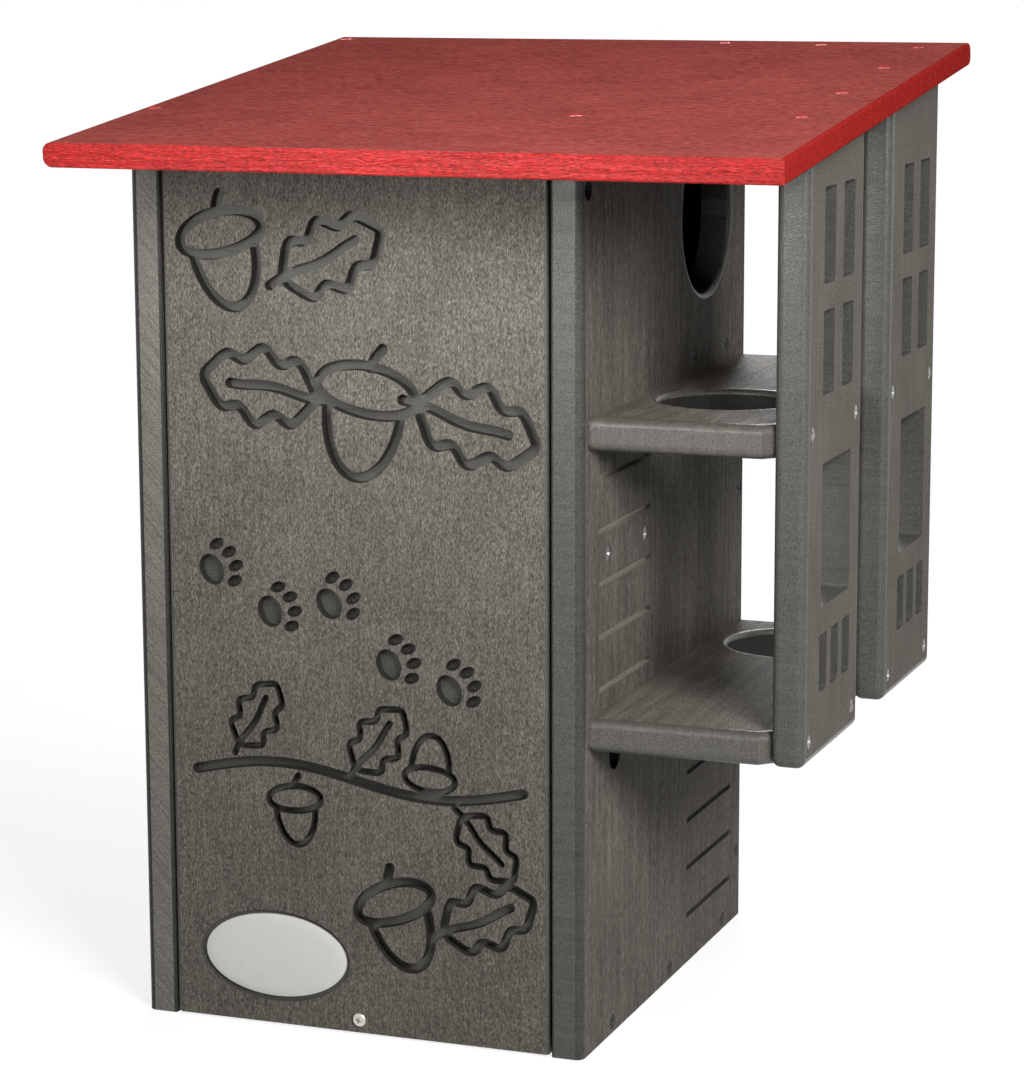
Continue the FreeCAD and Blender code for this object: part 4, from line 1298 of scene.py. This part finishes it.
def boards() -> list[Board]:
    """Every board of the box and its porch."""
    # The walls' machined edges and rounds are painted dark as shade
    wall = BoardFinish.grey("wall", Grain.UPRIGHT, Grain.UPRIGHT, ROUND_PAINTED_SHADE, SOFT)
    stile = replace(wall.routed, gleam=GLOSSY)
    # The left stile is painted lighter than the right one, as if more lit; its hatch is its own
    left = replace(wall, sawn=replace(stile, name="left_stile", base=SAWN_GREY_PAINTED_LIGHT, band=1.3, contrast=0.35, lean=-48.0))
    right = replace(
        wall,
        # The right wall's edges and entrance rim are painted darker as shade
        routed=replace(wall.routed, name="right_edge", base=EDGE_PAINTED_SHADE),
        # The front grooves are painted pale as lit
        rough=RoutedFinish("wall_groove", GROOVE_PAINTED_LIGHT, 0.5, DULL, Grain.DEEP),
        sawn=replace(stile, name="right_stile", base=STILE_GREY),
    )
    # The back panel's skin is painted dark as the shade inside the box
    back = replace(wall, skin=SkinFinish("back_skin", EDGE_PAINTED_SHADE, MATT, DULL, Grain.UPRIGHT, GREY, streak=(3.6, 0.75)))
    shelf = BoardFinish.grey("shelf", Grain.DEEP, Grain.ACROSS, SHELF_GREY, SHELF_GLEAM)
    # The shelves' skin is painted lighter as the light on their tops
    shelf = replace(shelf, skin=replace(shelf.skin, base=SHELF_SKIN_PAINTED_LIGHT))
    slat = BoardFinish.brushed("slat", 0.3)
    panel = BoardFinish.grey("panel", Grain.ACROSS, Grain.ACROSS)
    return [
        Board("left_wall", X, left, FRONT_ROUND),
        # Groove faces in the front half are painted pale as light
        Board("right_wall", X, right, FRONT_ROUND, bore=8.0, bore_rear=0.0),
        Board("back_panel", Y, back),
        Board("floor_panel", Z, shelf),
        Board("upper_inner_shelf", Z, panel),
        Board("lower_inner_shelf", Z, panel),
        # The porch holes' walls are painted near black as their shade
        Board("upper_porch_shelf", Z, shelf, bore=90.0),
        Board("lower_porch_shelf", Z, shelf, bore=90.0),
        Board("front_slat", X, slat),
        Board("rear_slat", X, slat),
        Board("porch_rear_rail", Y, panel),
        Door("front_door", Y, BoardFinish.brushed("door", 0.45), FRONT_ROUND),
        Roof("roof_panel", ROOF_NORMAL, BoardFinish.red()),
    ]


def screw_sets() -> list[ScrewSet]:
    """Every set of screws, by the CAD node that it stands for."""
    wall = ScrewPattern(Drive.COUNTERSUNK, head=8.0, head_depth=3.2, shank=4.2, length=38.0)
    porch = replace(wall, length=27.0)
    top = replace(wall, length=32.0)
    pivot = ScrewPattern(Drive.PAN, head=8.5, head_depth=4.0, shank=5.0, length=36.0)
    lock = ScrewPattern(Drive.PAN, head=7.6, head_depth=2.2, shank=4.2, length=32.2)
    black = SmallFinish("black_screw", SCREW_BLACK, 0.5, SATIN)
    worn = SmallFinish("worn_steel", WORN_STEEL, 0.36, SMOOTH, metallic=1.0, variation=0.3)
    steel = SmallFinish("bare_steel", BARE_STEEL, 0.28, SMOOTH, metallic=1.0)
    red = SmallFinish("red_screw", SCREW_RED, 0.4, FAINT)
    return [
        ScrewSet("floor_screws", wall, X, black),
        ScrewSet("back_panel_screws", wall, X, black),
        # The upper pair is painted black as shade instead of worn steel
        ScrewSet("inner_shelf_screws", wall, X, worn, upper_finish=black, upper_level=0.31),
        ScrewSet("slat_screws", porch, X, worn),
        ScrewSet("porch_screws", porch, X, black),
        ScrewSet("roof_screws", top, ROOF_NORMAL, red),
        ScrewSet("door_pivot_screws", pivot, X, black),
        ScrewSet("door_lock_screw", lock, Y, steel),
    ]


def studio() -> Studio:
    """The photograph's camera, and lamps from the sides that it was lit from."""
    return Studio(
        Vector((0.68659, -1.73815, 0.59157)),
        (79.5279, 0.194, 20.5133),
        118.101,
        (
            SoftLamp("key", 42.0, 24.0, 1.6, 0.5, 29.0),
            SoftLamp("front", -8.0, 22.0, 0.85, 0.35, 0.82, spread=62.0, aim=0.31),
            SoftLamp("glint", -20.0, 30.0, 0.9, 0.1, 0.6),
            SoftLamp("side", 128.0, 8.0, 1.0, 0.4, 0.5),
            SoftLamp("top", 75.0, 62.0, 1.2, 0.5, 2.4),
            SoftLamp("rear", 200.0, 20.0, 1.3, 0.6, 9.0),
        ),
    )


def main() -> None:
    """Build the pieces in order, set the stage and note the sizes."""
    logging.basicConfig(level=logging.INFO, format="%(message)s")
    for board in boards():
        board.build()
    enamel = SmallFinish("white_enamel", ENAMEL, 0.25, SMOOTH, coat=0.3, variation=0.015)
    Badge("badge_plate", enamel).build()
    for screws in screw_sets():
        screws.build()
    studio().build()


if __name__ == "__main__":
    main()
